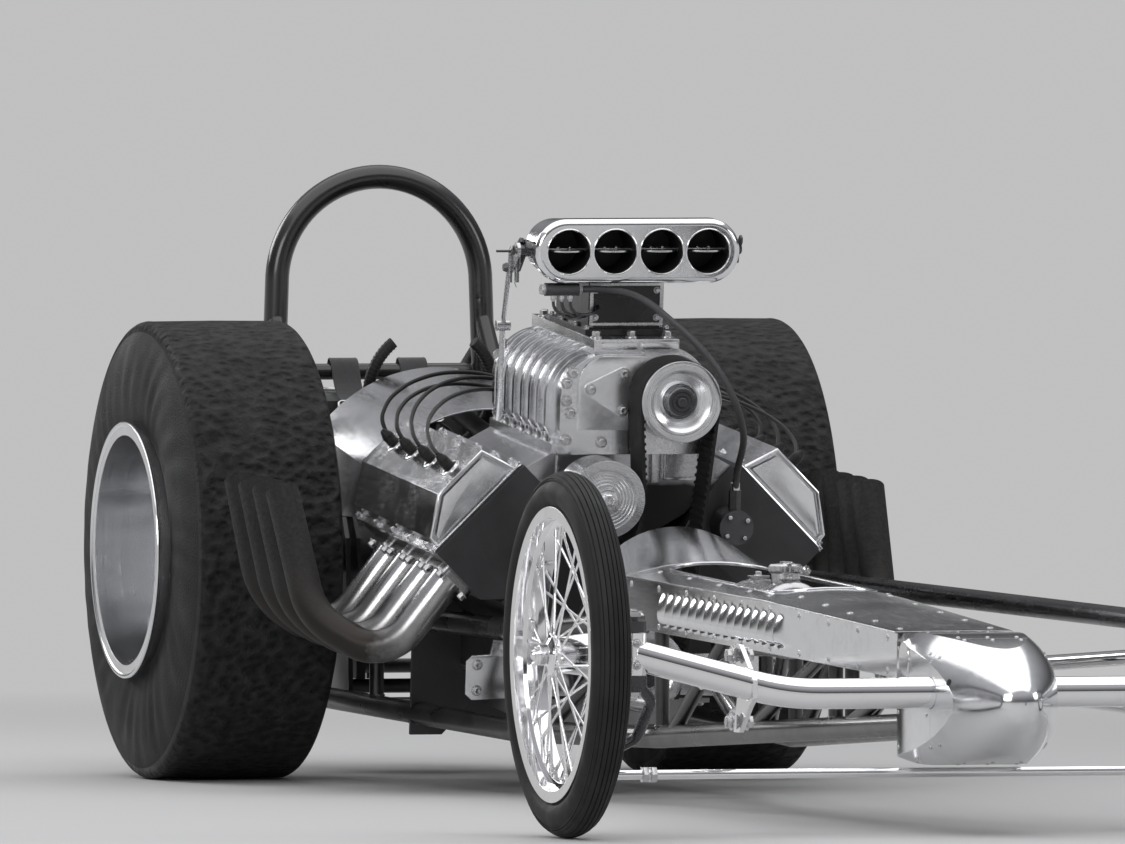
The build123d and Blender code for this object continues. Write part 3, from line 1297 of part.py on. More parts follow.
LIP = 8
HAT_LIP_LENGTH = 26
HAT_LIP_ROLL = 11
SHAFT_BACK = 34
HAT_BODY = 96
HAT_TAIL = 232
with BuildPart() as injector_hat:
    with BuildSketch(section(HAT_FACE - HAT_BODY)):
        with Locations((0, HAT_W)):
            SlotOverall(HAT_WIDTH - 2 * LIP, HAT_HEIGHT - 2 * LIP)
    extrude(amount=HAT_BODY)
    with BuildSketch(section(HAT_FACE - HAT_LIP_LENGTH)):
        with Locations((0, HAT_W)):
            SlotOverall(HAT_WIDTH, HAT_HEIGHT)
    extrude(amount=HAT_LIP_LENGTH)
    mouth_axis = Axis(engine.origin, engine.x_dir)
    fillet(injector_hat.faces().sort_by(mouth_axis)[-1].edges(), HAT_LIP_ROLL)
    with BuildSketch(section(HAT_FACE - HAT_BODY)):
        with Locations((0, HAT_W)):
            SlotOverall(HAT_WIDTH - 2 * LIP, HAT_HEIGHT - 2 * LIP)
    with BuildSketch(section(HAT_FACE - HAT_TAIL)):
        with Locations((0, HAT_W - 14)):
            SlotOverall(170, 60)
    loft(ruled=True)
    with BuildSketch(Plane(origin=on_engine(0, 0, NECK_TOP + 0.3), x_dir=engine.x_dir, z_dir=engine.z_dir)):
        with Locations((NECK_FRONT - NECK_LENGTH / 2, 0)):
            Rectangle(NECK_LENGTH - 10, NECK_WIDTH - 4)
    extrude(amount=40)
    with BuildSketch(section(HAT_FACE - PORT_DEPTH)):
        with Locations((0, HAT_W)):
            with GridLocations(PORT_PITCH, 1, 4, 1):
                Circle(PORT_R)
    extrude(amount=PORT_DEPTH + 5, mode=Mode.SUBTRACT)
    with BuildSketch(Plane(origin=on_engine(HAT_FACE - SHAFT_BACK, -HAT_WIDTH, HAT_W), z_dir=(0, 1, 0))):
        Circle(4 + RUNNING_GAP)
    extrude(amount=2 * HAT_WIDTH, mode=Mode.SUBTRACT)
write(injector_hat, "injector_hat")

# Throttle butterflies, lying open on their cross shaft
with BuildPart() as butterflies:
    shaft_start = on_engine(HAT_FACE - SHAFT_BACK, -HAT_WIDTH / 2 - 34, HAT_W)
    shaft_end = on_engine(HAT_FACE - SHAFT_BACK, HAT_WIDTH / 2 + 4, HAT_W)
    add(bar([shaft_start, shaft_end], 4))
    for place in range(4):
        v = (place - 1.5) * PORT_PITCH
        middle = on_engine(HAT_FACE - SHAFT_BACK, v, HAT_W - 1.5)
        with BuildSketch(Plane(origin=middle, x_dir=engine.x_dir, z_dir=engine.z_dir)):
            Ellipse(33, 35)
        extrude(amount=3)
write(butterflies, "butterflies")

# Throttle linkage on the right: lever on the shaft, then two rods down to the pedal side
with BuildPart() as throttle_linkage:
    lever_v = -HAT_WIDTH / 2 - 24
    lever_foot = on_engine(HAT_FACE - SHAFT_BACK, lever_v, HAT_W)
    with BuildSketch(Plane(origin=lever_foot + Vector(0, -3, 0), x_dir=(1, 0, 0), z_dir=(0, 1, 0))):
        Circle(13)
        with Locations((-18, 16)):
            Rectangle(54, 14, rotation=140)
        Circle(4 + RUNNING_GAP, mode=Mode.SUBTRACT)
    extrude(amount=6)
    knee = on_engine(-150, -190, 560)
    add(bar([lever_foot + Vector(-34, -5, -30), knee], 4))
    add(bar([knee, on_engine(-205, -178, 392)], 5))
    add(bar([knee + Vector(0, -12, 0), knee + Vector(0, 12, 0)], 9))
write(throttle_linkage, "throttle_linkage")

# Magneto behind the supercharger
MAGNETO_U = -470
CAP_R = 62
with BuildPart() as magneto:
    with BuildSketch(Plane(origin=on_engine(MAGNETO_U, 0, 188.8), x_dir=engine.x_dir, z_dir=engine.z_dir)):
        Circle(34)
    extrude(amount=170)
    with BuildSketch(Plane(origin=on_engine(MAGNETO_U, 0, 340), x_dir=engine.x_dir, z_dir=engine.z_dir)):
        Circle(CAP_R)
    extrude(amount=110)
    fillet(magneto.edges().sort_by(Axis.Z)[-1], 14)
write(magneto, "magneto")


def cord(points, radius):
    """A round cord through points, with arcs as large as its runs allow."""
    radii = []
    for before, here, after in zip(points, points[1:], points[2:]):
        arriving = here - before
        leaving = after - here
        half_turn = radians(arriving.get_angle(leaving)) / 2
        radii.append(0.45 * min(arriving.length, leaving.length) / tan(half_turn))
    return bar(points, radius, radii)


def swing(start, leave, arrive, finish, runs):
    """Points along a smooth curve that leaves start toward one guide and meets finish from another."""
    points = []
    for step in range(runs + 1):
        t = step / runs
        u = 1 - t
        points.append(start * u**3 + leave * (3 * u * u * t) + arrive * (3 * u * t * t) + finish * t**3)
    return points


# Plug wires from the side of the magneto cap over each cover, with a boot in each plug well
WIRE_R = 3.6
BOOT_R = 10
BOOT_LENGTH = 34
# Place round the cap in degrees from straight ahead, height, and runs, from the front bore back
WIRES = [(66, 402, 9), (82, 420, 8), (98, 402, 7), (114, 420, 6)]
with BuildPart() as plug_wires:
    for name, side in SIDES.items():
        for bore, (angle, height, runs) in zip(BORES, WIRES):
            well = bank_plane(side, bore, PLUG_OUT, cover_top - PLUG_WELL_DEPTH + RUNNING_GAP)
            with BuildSketch(well):
                Circle(BOOT_R)
            extrude(amount=BOOT_LENGTH)
            turn = radians(angle)
            reach = CAP_R + RUNNING_GAP + WIRE_R / 2
            start = on_engine(MAGNETO_U + reach * cos(turn), side * reach * sin(turn), height)
            outward = engine.x_dir * cos(turn) + Vector(0, side * sin(turn), 0)
            boot_top = well.origin + well.z_dir * (BOOT_LENGTH - 4)
            leave = start + outward * 160 + engine.z_dir * 60
            arrive = boot_top + well.z_dir * 80 + engine.x_dir * (0.28 * (MAGNETO_U + 45 - bore))
            add(cord(swing(start, leave, arrive, boot_top, runs), WIRE_R))
write(plug_wires, "plug_wires")

# Barrel valve under the hat's mouth, and the braided hose from it past the belt to the
# fuel pump on the left head
HOSE_R = 6
VALVE_R = 11.2
VALVE_ENDS = (-157, -98)
PUMP_R = 30
PUMP_V = 172
PUMP_W = 236
PUMP_LENGTH = 62
valve_w = HAT_W - HAT_HEIGHT / 2 - RUNNING_GAP - VALVE_R
HOSE = [
    (-11, VALVE_ENDS[1], valve_w), (-9, -58, 638), (25, -18, 635), (72, 6, 622), (112, 30, 598), (137, 72, 560),
    (150, 112, 510), (150, 142, 455), (128, 162, 402), (92, 169, 368), (56, PUMP_V, 338), (45, PUMP_V, 291),
]
with BuildPart() as fuel_lines:
    add(cord([on_engine(*row) for row in HOSE], HOSE_R))
    with BuildSketch(Plane(origin=on_engine(HOSE[0][0], VALVE_ENDS[0], valve_w), x_dir=engine.x_dir, z_dir=(0, 1, 0))):
        Circle(VALVE_R)
    extrude(amount=VALVE_ENDS[1] - VALVE_ENDS[0])
    foot = on_engine(HOSE[-1][0], PUMP_V, PUMP_W)
    with BuildSketch(Plane(origin=foot, x_dir=engine.x_dir, z_dir=engine.z_dir)):
        RegularPolygon(11, 6)
    extrude(amount=HOSE[-1][2] + 8 - PUMP_W)
    with BuildSketch(section(RUNNING_GAP)):
        with Locations((PUMP_V, PUMP_W)):
            Circle(PUMP_R)
    extrude(amount=PUMP_LENGTH)
write(fuel_lines, "fuel_lines")
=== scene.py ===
"""Finish, fittings and studio for a front-engined drag racing car.

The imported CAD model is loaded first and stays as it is. This script gives each of its
nodes a procedural material, adds tyres, fasteners, springs, belt teeth and soft goods
that ride on its bodies, and sets up the floor, the lamps and the camera. Lengths are in
metres: +X points to the nose, +Y to the car's left and +Z up.
"""
from math import atan2, copysign, cos, exp, hypot, pi, radians, sin, sqrt, tau

import bmesh
import bpy
from mathutils import Matrix, Vector
from mathutils.bvhtree import BVHTree


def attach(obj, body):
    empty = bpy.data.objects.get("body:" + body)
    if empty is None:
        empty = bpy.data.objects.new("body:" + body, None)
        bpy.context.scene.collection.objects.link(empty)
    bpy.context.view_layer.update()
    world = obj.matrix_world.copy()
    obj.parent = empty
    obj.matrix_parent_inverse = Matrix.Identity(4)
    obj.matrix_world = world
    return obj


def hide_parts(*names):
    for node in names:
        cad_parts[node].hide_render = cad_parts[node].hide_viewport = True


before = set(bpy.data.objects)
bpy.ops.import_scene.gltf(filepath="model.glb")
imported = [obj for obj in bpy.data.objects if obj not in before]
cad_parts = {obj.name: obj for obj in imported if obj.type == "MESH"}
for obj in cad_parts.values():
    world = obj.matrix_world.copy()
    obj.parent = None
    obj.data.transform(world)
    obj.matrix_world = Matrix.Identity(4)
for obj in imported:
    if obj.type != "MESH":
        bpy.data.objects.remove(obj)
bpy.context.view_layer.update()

bl_info = {
    "name": "Drag Racing Car Finisher",
    "version": (1, 0, 0),
    "blender": (4, 5, 0),
    "location": "3D View > Sidebar > Drag Car",
    "description": "Adds finishes, fittings, tyres and a studio to the drag racing car",
    "category": "Object",
}

# Places that the CAD model is built from
MIDDLE = 1.27525
ENGINE_FRONT = 1.030
CRANK_HEIGHT = 0.225
ENGINE_LEAN = radians(5.5)
BANK_LEAN = radians(45)
WHEELBASE = 3.2
FRONT_HALF_TRACK = 0.722
FRONT_TYRE_R = 0.3005
REAR_HALF_TRACK = 0.445
REAR_TYRE_R = 0.395
SIDES = {"left": 1, "right": -1}


def ahead(distance):
    """X of a place this far forward of the rear axle."""
    return distance - MIDDLE


def spot(distance, y, z):
    """A point given by its distance forward of the rear axle."""
    return Vector((ahead(distance), y, z))


# The engine leans nose down: u runs forward along the crank, v left and w up
ENGINE_ALONG = Vector((cos(ENGINE_LEAN), 0, -sin(ENGINE_LEAN)))
ENGINE_UP = Vector((sin(ENGINE_LEAN), 0, cos(ENGINE_LEAN)))
LEFT = Vector((0, 1, 0))
UP = Vector((0, 0, 1))
FORWARD = Vector((1, 0, 0))
ENGINE_FOOT = spot(ENGINE_FRONT, 0, CRANK_HEIGHT)

# Places on the engine, in metres
BORES = [-0.069 - 0.116 * count for count in range(4)]
COVER_TOP = 0.4423
PLUG_OUT = -0.019
EXHAUST_UP = 0.308
FLANGE_OUT = 0.1183
BLOWER_BACK = -0.374
BLOWER_FACE = 0.0363
BLOWER_TAIL = -0.3883
TOP_PULLEY = (0.051, 0.459)
IDLER = (-0.077, 0.294)
PULLEY_R = 0.066
PULLEY_BACK = 0.040
PULLEY_FACE = 0.124
IDLER_FACE = 0.128
HAT_FACE = 0.013
HAT_HEIGHT = 0.7035
SHAFT_U = HAT_FACE - 0.034
PORT_PITCH = 0.0818
PORT_R = 0.038
PORT_DEPTH = 0.085
MAGNETO_U = -0.470
NECK_FACE = -0.0568
MANIFOLD_FACE = -0.0163
CAP_R = 0.062


def on_engine(u, v, w):
    """World place of a point given along, across and above the crank."""
    return ENGINE_FOOT + ENGINE_ALONG * u + LEFT * v + ENGINE_UP * w


def bank_way(side, out, up):
    """Direction in the world of a step out and up on one cylinder bank."""
    v = side * (up * sin(BANK_LEAN) + out * cos(BANK_LEAN))
    w = up * cos(BANK_LEAN) - out * sin(BANK_LEAN)
    return LEFT * v + ENGINE_UP * w


def on_bank(side, u, out, up):
    """World place on one cylinder bank: along the crank, out past its middle, up along it."""
    return ENGINE_FOOT + ENGINE_ALONG * u + bank_way(side, out, up)


class CarColours(bpy.types.PropertyGroup):
    """Colours of the finishes."""
    aluminium: bpy.props.FloatVectorProperty(
        name="Aluminium", description="Polished body and engine castings",
        subtype="COLOR", size=3, default=(0.86, 0.865, 0.88), min=0, max=1,
    )
    chrome: bpy.props.FloatVectorProperty(
        name="Chrome", description="Plated axle, rods and wire wheels",
        subtype="COLOR", size=3, default=(0.9, 0.9, 0.91), min=0, max=1,
    )
    black: bpy.props.FloatVectorProperty(
        name="Black paint", description="Frame tubes and painted castings",
        subtype="COLOR", size=3, default=(0.012, 0.012, 0.013), min=0, max=1,
    )
    rubber: bpy.props.FloatVectorProperty(
        name="Rubber", description="Tyres and belt",
        subtype="COLOR", size=3, default=(0.012, 0.012, 0.0125), min=0, max=1,
    )
    soot: bpy.props.FloatVectorProperty(
        name="Soot", description="Burnt ends of the exhaust pipes",
        subtype="COLOR", size=3, default=(0.018, 0.017, 0.016), min=0, max=1,
    )
    canvas: bpy.props.FloatVectorProperty(
        name="Canvas", description="Parachute pack and belts",
        subtype="COLOR", size=3, default=(0.055, 0.06, 0.055), min=0, max=1,
    )
    floor: bpy.props.FloatVectorProperty(
        name="Floor", description="Studio floor and the air round it",
        subtype="COLOR", size=3, default=(0.53, 0.53, 0.53), min=0, max=1,
    )


class CarSizes(bpy.types.PropertyGroup):
    """Sizes of the fittings that a user may change."""
    tyre_groove: bpy.props.FloatProperty(
        name="Tyre groove", description="Depth of the ribs round the front tyres",
        unit="LENGTH", default=0.0028, min=0, max=0.005,
    )
    slick_wrinkle: bpy.props.FloatProperty(
        name="Slick wrinkle", description="Height of the folds in the slicks' sidewalls",
        unit="LENGTH", default=0.0022, min=0, max=0.004,
    )
    bolt_across: bpy.props.FloatProperty(
        name="Bolt size", description="Across the flats of the common engine bolt",
        unit="LENGTH", default=0.0135, min=0.008, max=0.02,
    )
    belt_pitch: bpy.props.FloatProperty(
        name="Belt pitch", description="From tooth to tooth of the drive belt",
        unit="LENGTH", default=0.0127, min=0.01, max=0.02,
    )


# Shader node groups


class Graph:
    """Short ways to add nodes to one tree."""

    def __init__(self, tree):
        self.tree = tree

    def add(self, kind, _settings=None, **inputs):
        """A node with its settings, and its inputs given values or links by name."""
        node = self.tree.nodes.new("ShaderNode" + kind)
        for key, value in (_settings or {}).items():
            setattr(node, key, value)
        for key, value in inputs.items():
            self.feed(node, key.replace("_", " "), value)
        return node

    def feed(self, node, key, value):
        """Give one input, found by name or by i and its number, a value or a link."""
        numbered = key[0] == "i" and key[1:].isdigit()
        target = node.inputs[int(key[1:]) if numbered else key]
        if isinstance(value, bpy.types.NodeSocket):
            self.tree.links.new(value, target)
        elif target.type == "RGBA":
            target.default_value = (*value, 1.0)
        else:
            target.default_value = value

    def maths(self, operation, first, second=0.5, clamp=False):
        """One sum on plain values."""
        return self.add("Math", {"operation": operation, "use_clamp": clamp}, i0=first, i1=second).outputs[0]

    def vector(self, operation, first, second=(0, 0, 0)):
        """One sum on vectors."""
        made = self.add("VectorMath", {"operation": operation}, i0=first, i1=second).outputs
        return made["Value"] if operation in ("LENGTH", "DOT_PRODUCT") else made[0]

    def spread(self, value, low, high, new_low=0.0, new_high=1.0):
        """A value moved from one range to another and clamped."""
        return self.add("MapRange", i0=value, i1=low, i2=high, i3=new_low, i4=new_high).outputs[0]

    def between(self, share, low, high):
        """A share from 0 to 1 moved to a range."""
        return self.spread(share, 0.0, 1.0, low, high)

    def noise(self, place, scale, detail=4.0, rough=0.55):
        """Plain noise at a place."""
        return self.add("TexNoise", Vector=place, Scale=scale, Detail=detail, Roughness=rough).outputs["Fac"]

    def blend(self, amount, first, second):
        """Two colours mixed by an amount."""
        return self.add("Mix", {"data_type": "RGBA"}, i0=amount, i6=first, i7=second).outputs[2]


class Group(Graph):
    """A shader group in the making, with the place that its pattern follows as first input."""

    def __init__(self, name, **inputs):
        super().__init__(bpy.data.node_groups.new(name, "ShaderNodeTree"))
        for label, default in {"Place": None, **inputs}.items():
            kind = "NodeSocketFloat" if isinstance(default, float) else "NodeSocketVector"
            socket = self.tree.interface.new_socket(
                name=label.replace("_", " "), in_out="INPUT", socket_type=kind)
            if default is not None:
                socket.default_value = default
        self.given = self.tree.nodes.new("NodeGroupInput").outputs
        self.place = self.given["Place"]

    def put_out(self, **outputs):
        """Name the group's outputs and feed them."""
        for label in outputs:
            kind = "NodeSocketVector" if label == "Normal" else "NodeSocketFloat"
            self.tree.interface.new_socket(name=label, in_out="OUTPUT", socket_type=kind)
        end = self.tree.nodes.new("NodeGroupOutput")
        for label, value in outputs.items():
            self.tree.links.new(value, end.inputs[label])


def make_wander_group():
    """Slow cloudy change and a fine grain, for colour, roughness and bump."""
    g = Group("surface_wander", Cloud_Scale=6.0, Grain_Scale=400.0)
    cloud = g.noise(g.place, g.given["Cloud Scale"], 3.0)
    g.put_out(Cloud=g.spread(cloud, 0.3, 0.7), Grain=g.noise(g.place, g.given["Grain Scale"], 2.0))


def make_edge_group():
    """Rounded normal at hard edges, and a mask that is bright along them, broken by noise."""
    g = Group("rounded_edges", Radius=0.0015)
    bevel = g.add("Bevel", {"samples": 4}, Radius=g.given["Radius"]).outputs[0]
    same = g.vector("DOT_PRODUCT", bevel, g.add("NewGeometry").outputs["Normal"])
    chips = g.spread(g.noise(g.place, 60.0), 0.45, 0.6, 0.15)
    g.put_out(Mask=g.maths("MULTIPLY", g.spread(same, 0.995, 0.85), chips, clamp=True), Normal=bevel)


def make_rings_group():
    """Fine turned rings about an axis through a centre, for spun and lathed metal."""
    g = Group("turned_rings", Centre=None, Axis=(0.0, 1.0, 0.0), Pitch=900.0)
    offset = g.vector("SUBTRACT", g.place, g.given["Centre"])
    along = g.vector("DOT_PRODUCT", offset, g.given["Axis"])
    back = g.add("VectorMath", {"operation": "SCALE"}, i0=g.given["Axis"], Scale=along).outputs[0]
    radius = g.vector("LENGTH", g.vector("SUBTRACT", offset, back))
    reach = g.add("CombineXYZ", X=radius, Y=along, Z=0.0).outputs[0]
    g.put_out(Ring=g.noise(reach, g.given["Pitch"], 2.0, 0.7), Radius=radius)


def make_dust_group():
    """Mask of road dust that gathers low down, in patches."""
    g = Group("road_dust", Low=0.0, High=0.5, Amount=0.3)
    height = g.add("SeparateXYZ", Vector=g.place).outputs["Z"]
    low_down = g.spread(height, g.given["Low"], g.given["High"], 1.0, 0.0)
    patches = g.spread(g.noise(g.place, 14.0, 6.0, 0.65), 0.38, 0.68)
    both = g.maths("MULTIPLY", low_down, patches)
    g.put_out(Mask=g.maths("MULTIPLY", both, g.given["Amount"], clamp=True))


def make_weave_group():
    """Plain woven cloth: crossing threads as a height and a thread shade."""
    g = Group("plain_weave", Threads=900.0)
    scaled = g.add("VectorMath", {"operation": "SCALE"}, i0=g.place, Scale=g.given["Threads"]).outputs[0]
    parts = g.add("SeparateXYZ", Vector=scaled).outputs
    across = g.maths("SINE", g.maths("ADD", parts["Y"], parts["X"]))
    upward = g.maths("SINE", g.maths("ADD", parts["Z"], parts["X"]))
    height = g.maths("MULTIPLY", across, upward)
    g.put_out(Height=g.spread(height, -1.0, 1.0), Shade=g.spread(g.noise(scaled, 0.06), 0.3, 0.7))


GROUP_MAKERS = {
    "surface_wander": make_wander_group,
    "rounded_edges": make_edge_group,
    "turned_rings": make_rings_group,
    "road_dust": make_dust_group,
    "plain_weave": make_weave_group,
}


def group(name):
    """A shader group, built the first time that it is asked for."""
    if name not in bpy.data.node_groups:
        GROUP_MAKERS[name]()
    return bpy.data.node_groups[name]


# Keeps these apart from the plain materials that come with the frame
FINISH_PREFIX = "finish_"


class Finish(Graph):
    """One material: its tree, its shader and the place on the object that patterns follow."""

    def __init__(self, name, colour, metallic=0.0, roughness=0.5, **plain):
        self.material = bpy.data.materials.new(FINISH_PREFIX + name)
        self.material.use_nodes = True
        self.material.diffuse_color = (*colour, 1)
        super().__init__(self.material.node_tree)
        self.shader = self.tree.nodes["Principled BSDF"]
        self.set(Base_Color=colour, Metallic=metallic, Roughness=roughness, **plain)
        self.place = self.add("TexCoord").outputs["Object"]

    def set(self, **inputs):
        """Give the shader values or links."""
        for key, value in inputs.items():
            self.feed(self.shader, key.replace("_", " "), value)

    def use(self, name, **inputs):
        """Place a shader group with its own values."""
        return self.add("Group", {"node_tree": group(name)}, Place=self.place, **inputs).outputs

    def wander(self, cloud, grain):
        """Cloud and grain over the surface at their own scales."""
        return self.use("surface_wander", Cloud_Scale=cloud, Grain_Scale=grain)

    def bump(self, height, strength, distance, edges=None):
        """Bump for the shader's normal, over rounded edges if they are given."""
        node = self.add("Bump", Height=height, Strength=strength, Distance=distance)
        if edges is not None:
            self.feed(node, "Normal", edges["Normal"])
        self.set(Normal=node.outputs[0])


def shade(colour, factor):
    """A colour made lighter or darker."""
    return tuple(min(1.0, part * factor) for part in colour)


def polished_metal(name, colour, low, high, cloud=5.0, haze=0.8, grain=0.04):
    """Polished metal with cloudy hand-rubbed haze, thin grime and softly rounded edges."""
    f = Finish(name, colour, metallic=1.0)
    wander = f.wander(cloud, 900.0)
    rub = f.noise(f.vector("MULTIPLY", f.place, (4.0, 30.0, 30.0)), 6.0, 6.0, 0.7)
    mix = f.maths("MULTIPLY", wander["Cloud"], f.spread(rub, 0.35, 0.65, 0.3))
    grime = f.spread(f.noise(f.place, 11.0, 8.0, 0.7), 0.5, 0.75, 0.0, haze)
    f.set(Roughness=f.between(mix, low, high), Base_Color=f.blend(grime, colour, shade(colour, 0.62)))
    f.bump(wander["Grain"], grain, 0.0006, f.use("rounded_edges", Radius=0.0012))


def black_paint(name, colour, roughness, coat=0.6, dust_top=0.5):
    """Gloss black paint over steel, chipped along edges and dusty low down."""
    f = Finish(name, colour, roughness=roughness, Coat_Roughness=0.12, Coat_Weight=coat)
    edges = f.use("rounded_edges", Radius=0.0014)
    dusty = f.use("road_dust", Low=0.0, High=dust_top, Amount=0.25)["Mask"]
    worn = f.maths("MULTIPLY", edges["Mask"], 0.45)
    metal = f.blend(worn, colour, (0.32, 0.32, 0.33))
    rough = f.between(f.wander(9.0, 500.0)["Cloud"], roughness, roughness + 0.15)
    f.set(
        Normal=edges["Normal"], Base_Color=f.blend(dusty, metal, (0.2, 0.19, 0.18)),
        Metallic=f.maths("MULTIPLY", worn, 0.8),
        Roughness=f.maths("ADD", rough, f.maths("MULTIPLY", dusty, 0.4), clamp=True))


def cast_metal(name, colour, roughness, metallic=1.0, oil=0.3):
    """Sand-cast metal: pebbled skin, oil-dark patches and brighter rubbed edges."""
    f = Finish(name, colour, metallic=metallic)
    wander = f.wander(12.0, 220.0)
    edges = f.use("rounded_edges", Radius=0.0016)
    skin = f.blend(f.maths("MULTIPLY", wander["Cloud"], oil), colour, shade(colour, 0.4))
    f.set(
        Base_Color=f.blend(f.maths("MULTIPLY", edges["Mask"], 0.5), skin, shade(colour, 1.5)),
        Roughness=f.between(wander["Cloud"], roughness, roughness * 0.7))
    f.bump(wander["Grain"], 0.35, 0.0008, edges)


def manifold_metal(name, colour):
    """Cast manifold, bright along its flange and near black lower down, where painted shade stands for the shadowed
    valley, with some oil.
    """
    f = Finish(name, colour)
    wander = f.wander(12.0, 140.0)
    height = f.vector("DOT_PRODUCT", f.vector("SUBTRACT", f.place, tuple(ENGINE_FOOT)), tuple(ENGINE_UP))
    swing = f.maths("MULTIPLY", f.maths("SUBTRACT", f.noise(f.place, 16.0), 0.5), 0.02)
    # Painted shade: the face turns near black below the flange, where the valley lies in shadow
    deep = f.spread(f.maths("ADD", height, swing), 0.312, 0.298)
    skin = f.blend(f.maths("MULTIPLY", wander["Cloud"], 0.3), colour, shade(colour, 0.45))
    f.set(
        Base_Color=f.blend(deep, skin, (0.012, 0.012, 0.012)),
        Metallic=f.between(deep, 1.0, 0.1), Roughness=f.between(deep, 0.26, 0.6))
    f.bump(wander["Grain"], 0.35, 0.0008, f.use("rounded_edges", Radius=0.0016))


def rubber(name, colour, roughness=0.6, dust=0.1, grain=260.0):
    """Rubber with a fine moulded grain, scuffs and a film of dust."""
    f = Finish(name, colour, Specular_IOR_Level=0.25)
    wander = f.wander(16.0, grain)
    dusty = f.use("road_dust", Low=-0.2, High=0.9, Amount=dust)["Mask"]
    scuff = f.blend(f.maths("MULTIPLY", wander["Cloud"], 0.5), colour, shade(colour, 1.9))
    f.set(
        Base_Color=f.blend(dusty, scuff, (0.16, 0.155, 0.15)),
        Roughness=f.between(wander["Cloud"], roughness - 0.1, roughness + 0.15))
    f.bump(wander["Grain"], 0.5, 0.0007)


def slick_rubber(name, colour, centre):
    """Soft slick rubber: torn and pebbled over the tread, with painted highlights on the lumps, smoother on the
    sidewalls.
    """
    f = Finish(name, colour, Specular_IOR_Level=0.25)
    ring = f.use("turned_rings", Centre=centre, Pitch=500.0)
    tread = f.spread(ring["Radius"], 0.376, 0.39)
    stretched = f.vector("MULTIPLY", f.place, (1.0, 0.8, 1.0))
    torn = f.add("TexVoronoi", {"feature": "SMOOTH_F1"}, Vector=stretched, Scale=72.0).outputs[0]
    rough = f.maths("MULTIPLY", f.maths("ADD", torn, f.noise(f.place, 34.0, 7.0, 0.7)), tread)
    wander = f.wander(7.0, 300.0)
    # Painted highlight: the raised lumps of the tread are coloured lighter
    lump_highlight = f.maths("MULTIPLY", f.spread(rough, 0.7, 1.3, 0.0, 0.7), tread)
    f.set(
        Base_Color=f.blend(lump_highlight, colour, (0.055, 0.054, 0.053)),
        Roughness=f.between(wander["Cloud"], 0.45, 0.75))
    f.bump(f.maths("ADD", rough, f.maths("MULTIPLY", wander["Grain"], 0.12)), 1.0, 0.014)


def spun_aluminium(name, colour, centre, axis, low, high, pitch):
    """Lathe-spun aluminium with fine rings about its axis."""
    f = Finish(name, colour, metallic=1.0, Anisotropic=0.4)
    ring = f.use("turned_rings", Centre=centre, Axis=axis, Pitch=pitch)["Ring"]
    cloud = f.wander(7.0, 900.0)["Cloud"]
    grime = f.spread(cloud, 0.4, 1.0, 0.0, 0.35)
    f.set(
        Roughness=f.spread(f.maths("MULTIPLY", ring, cloud), 0.0, 0.6, low, high),
        Base_Color=f.blend(grime, colour, shade(colour, 0.7)))
    f.bump(ring, 0.12, 0.0007, f.use("rounded_edges", Radius=0.001))


def pipe_steel(name, colour, soot):
    """Exhaust pipe: bright near the ports, straw and brown further on, sooty at the ends."""
    f = Finish(name, colour)
    parts = f.add("SeparateXYZ", Vector=f.place).outputs
    out = f.maths("ABSOLUTE", parts["Y"])
    swing = f.maths("SUBTRACT", f.noise(f.place, 9.0, 6.0, 0.65), 0.5)
    hot = f.spread(f.maths("ADD", out, f.maths("MULTIPLY", swing, 0.12)), 0.34, 0.43)
    burnt = f.spread(f.maths("ADD", parts["Z"], f.maths("MULTIPLY", swing, 0.1)), 0.27, 0.4)
    sooty = f.maths("MULTIPLY", burnt, f.spread(out, 0.45, 0.5))
    brown = f.blend(hot, shade(colour, 0.62), (0.045, 0.041, 0.038))
    flakes = f.noise(f.place, 130.0, 6.0, 0.75)
    scale = f.maths("MULTIPLY", sooty, f.spread(flakes, 0.3, 0.7, 0.15, 0.5))
    f.set(
        Base_Color=f.blend(sooty, brown, soot), Metallic=f.between(sooty, 1.0, 0.35),
        Roughness=f.maths("ADD", f.between(hot, 0.24, 0.42), scale))
    f.bump(f.maths("MULTIPLY", flakes, f.maths("ADD", sooty, 0.05)), 0.6, 0.003)


def canvas(name, colour, threads=1600.0):
    """Woven canvas with slubs and faded folds."""
    f = Finish(name, colour, roughness=0.9, Sheen_Weight=0.25)
    weave = f.use("plain_weave", Threads=threads)
    cloud = f.wander(10.0, 200.0)["Cloud"]
    faded = f.blend(f.maths("MULTIPLY", cloud, 0.5), colour, shade(colour, 1.8))
    f.set(Base_Color=f.blend(f.maths("MULTIPLY", weave["Shade"], 0.3), faded, shade(colour, 0.6)))
    f.bump(weave["Height"], 0.6, 0.0008)


def vinyl(name, colour):
    """Seat vinyl: pebbled grain, shiny where it is sat on."""
    f = Finish(name, colour)
    cells = f.add("TexVoronoi", {"feature": "DISTANCE_TO_EDGE"}, Vector=f.place, Scale=420.0).outputs[0]
    cloud = f.wander(8.0, 200.0)["Cloud"]
    f.set(Base_Color=f.blend(cloud, colour, shade(colour, 1.5)), Roughness=f.between(cloud, 0.36, 0.6))
    f.bump(f.spread(cells, 0.0, 0.35), 0.35, 0.0006)


def braid(name, colour):
    """Braided steel hose: crossing strands round the tube."""
    f = Finish(name, colour, metallic=1.0)
    weave = f.use("plain_weave", Threads=2600.0)
    f.set(
        Base_Color=f.blend(weave["Height"], shade(colour, 0.35), colour),
        Roughness=f.between(weave["Shade"], 0.3, 0.5))
    f.bump(weave["Height"], 0.8, 0.0008)


FRONT_CENTRES = {name: spot(WHEELBASE, side * FRONT_HALF_TRACK, FRONT_TYRE_R) for name, side in SIDES.items()}
REAR_CENTRES = {name: spot(0, side * REAR_HALF_TRACK, REAR_TYRE_R) for name, side in SIDES.items()}


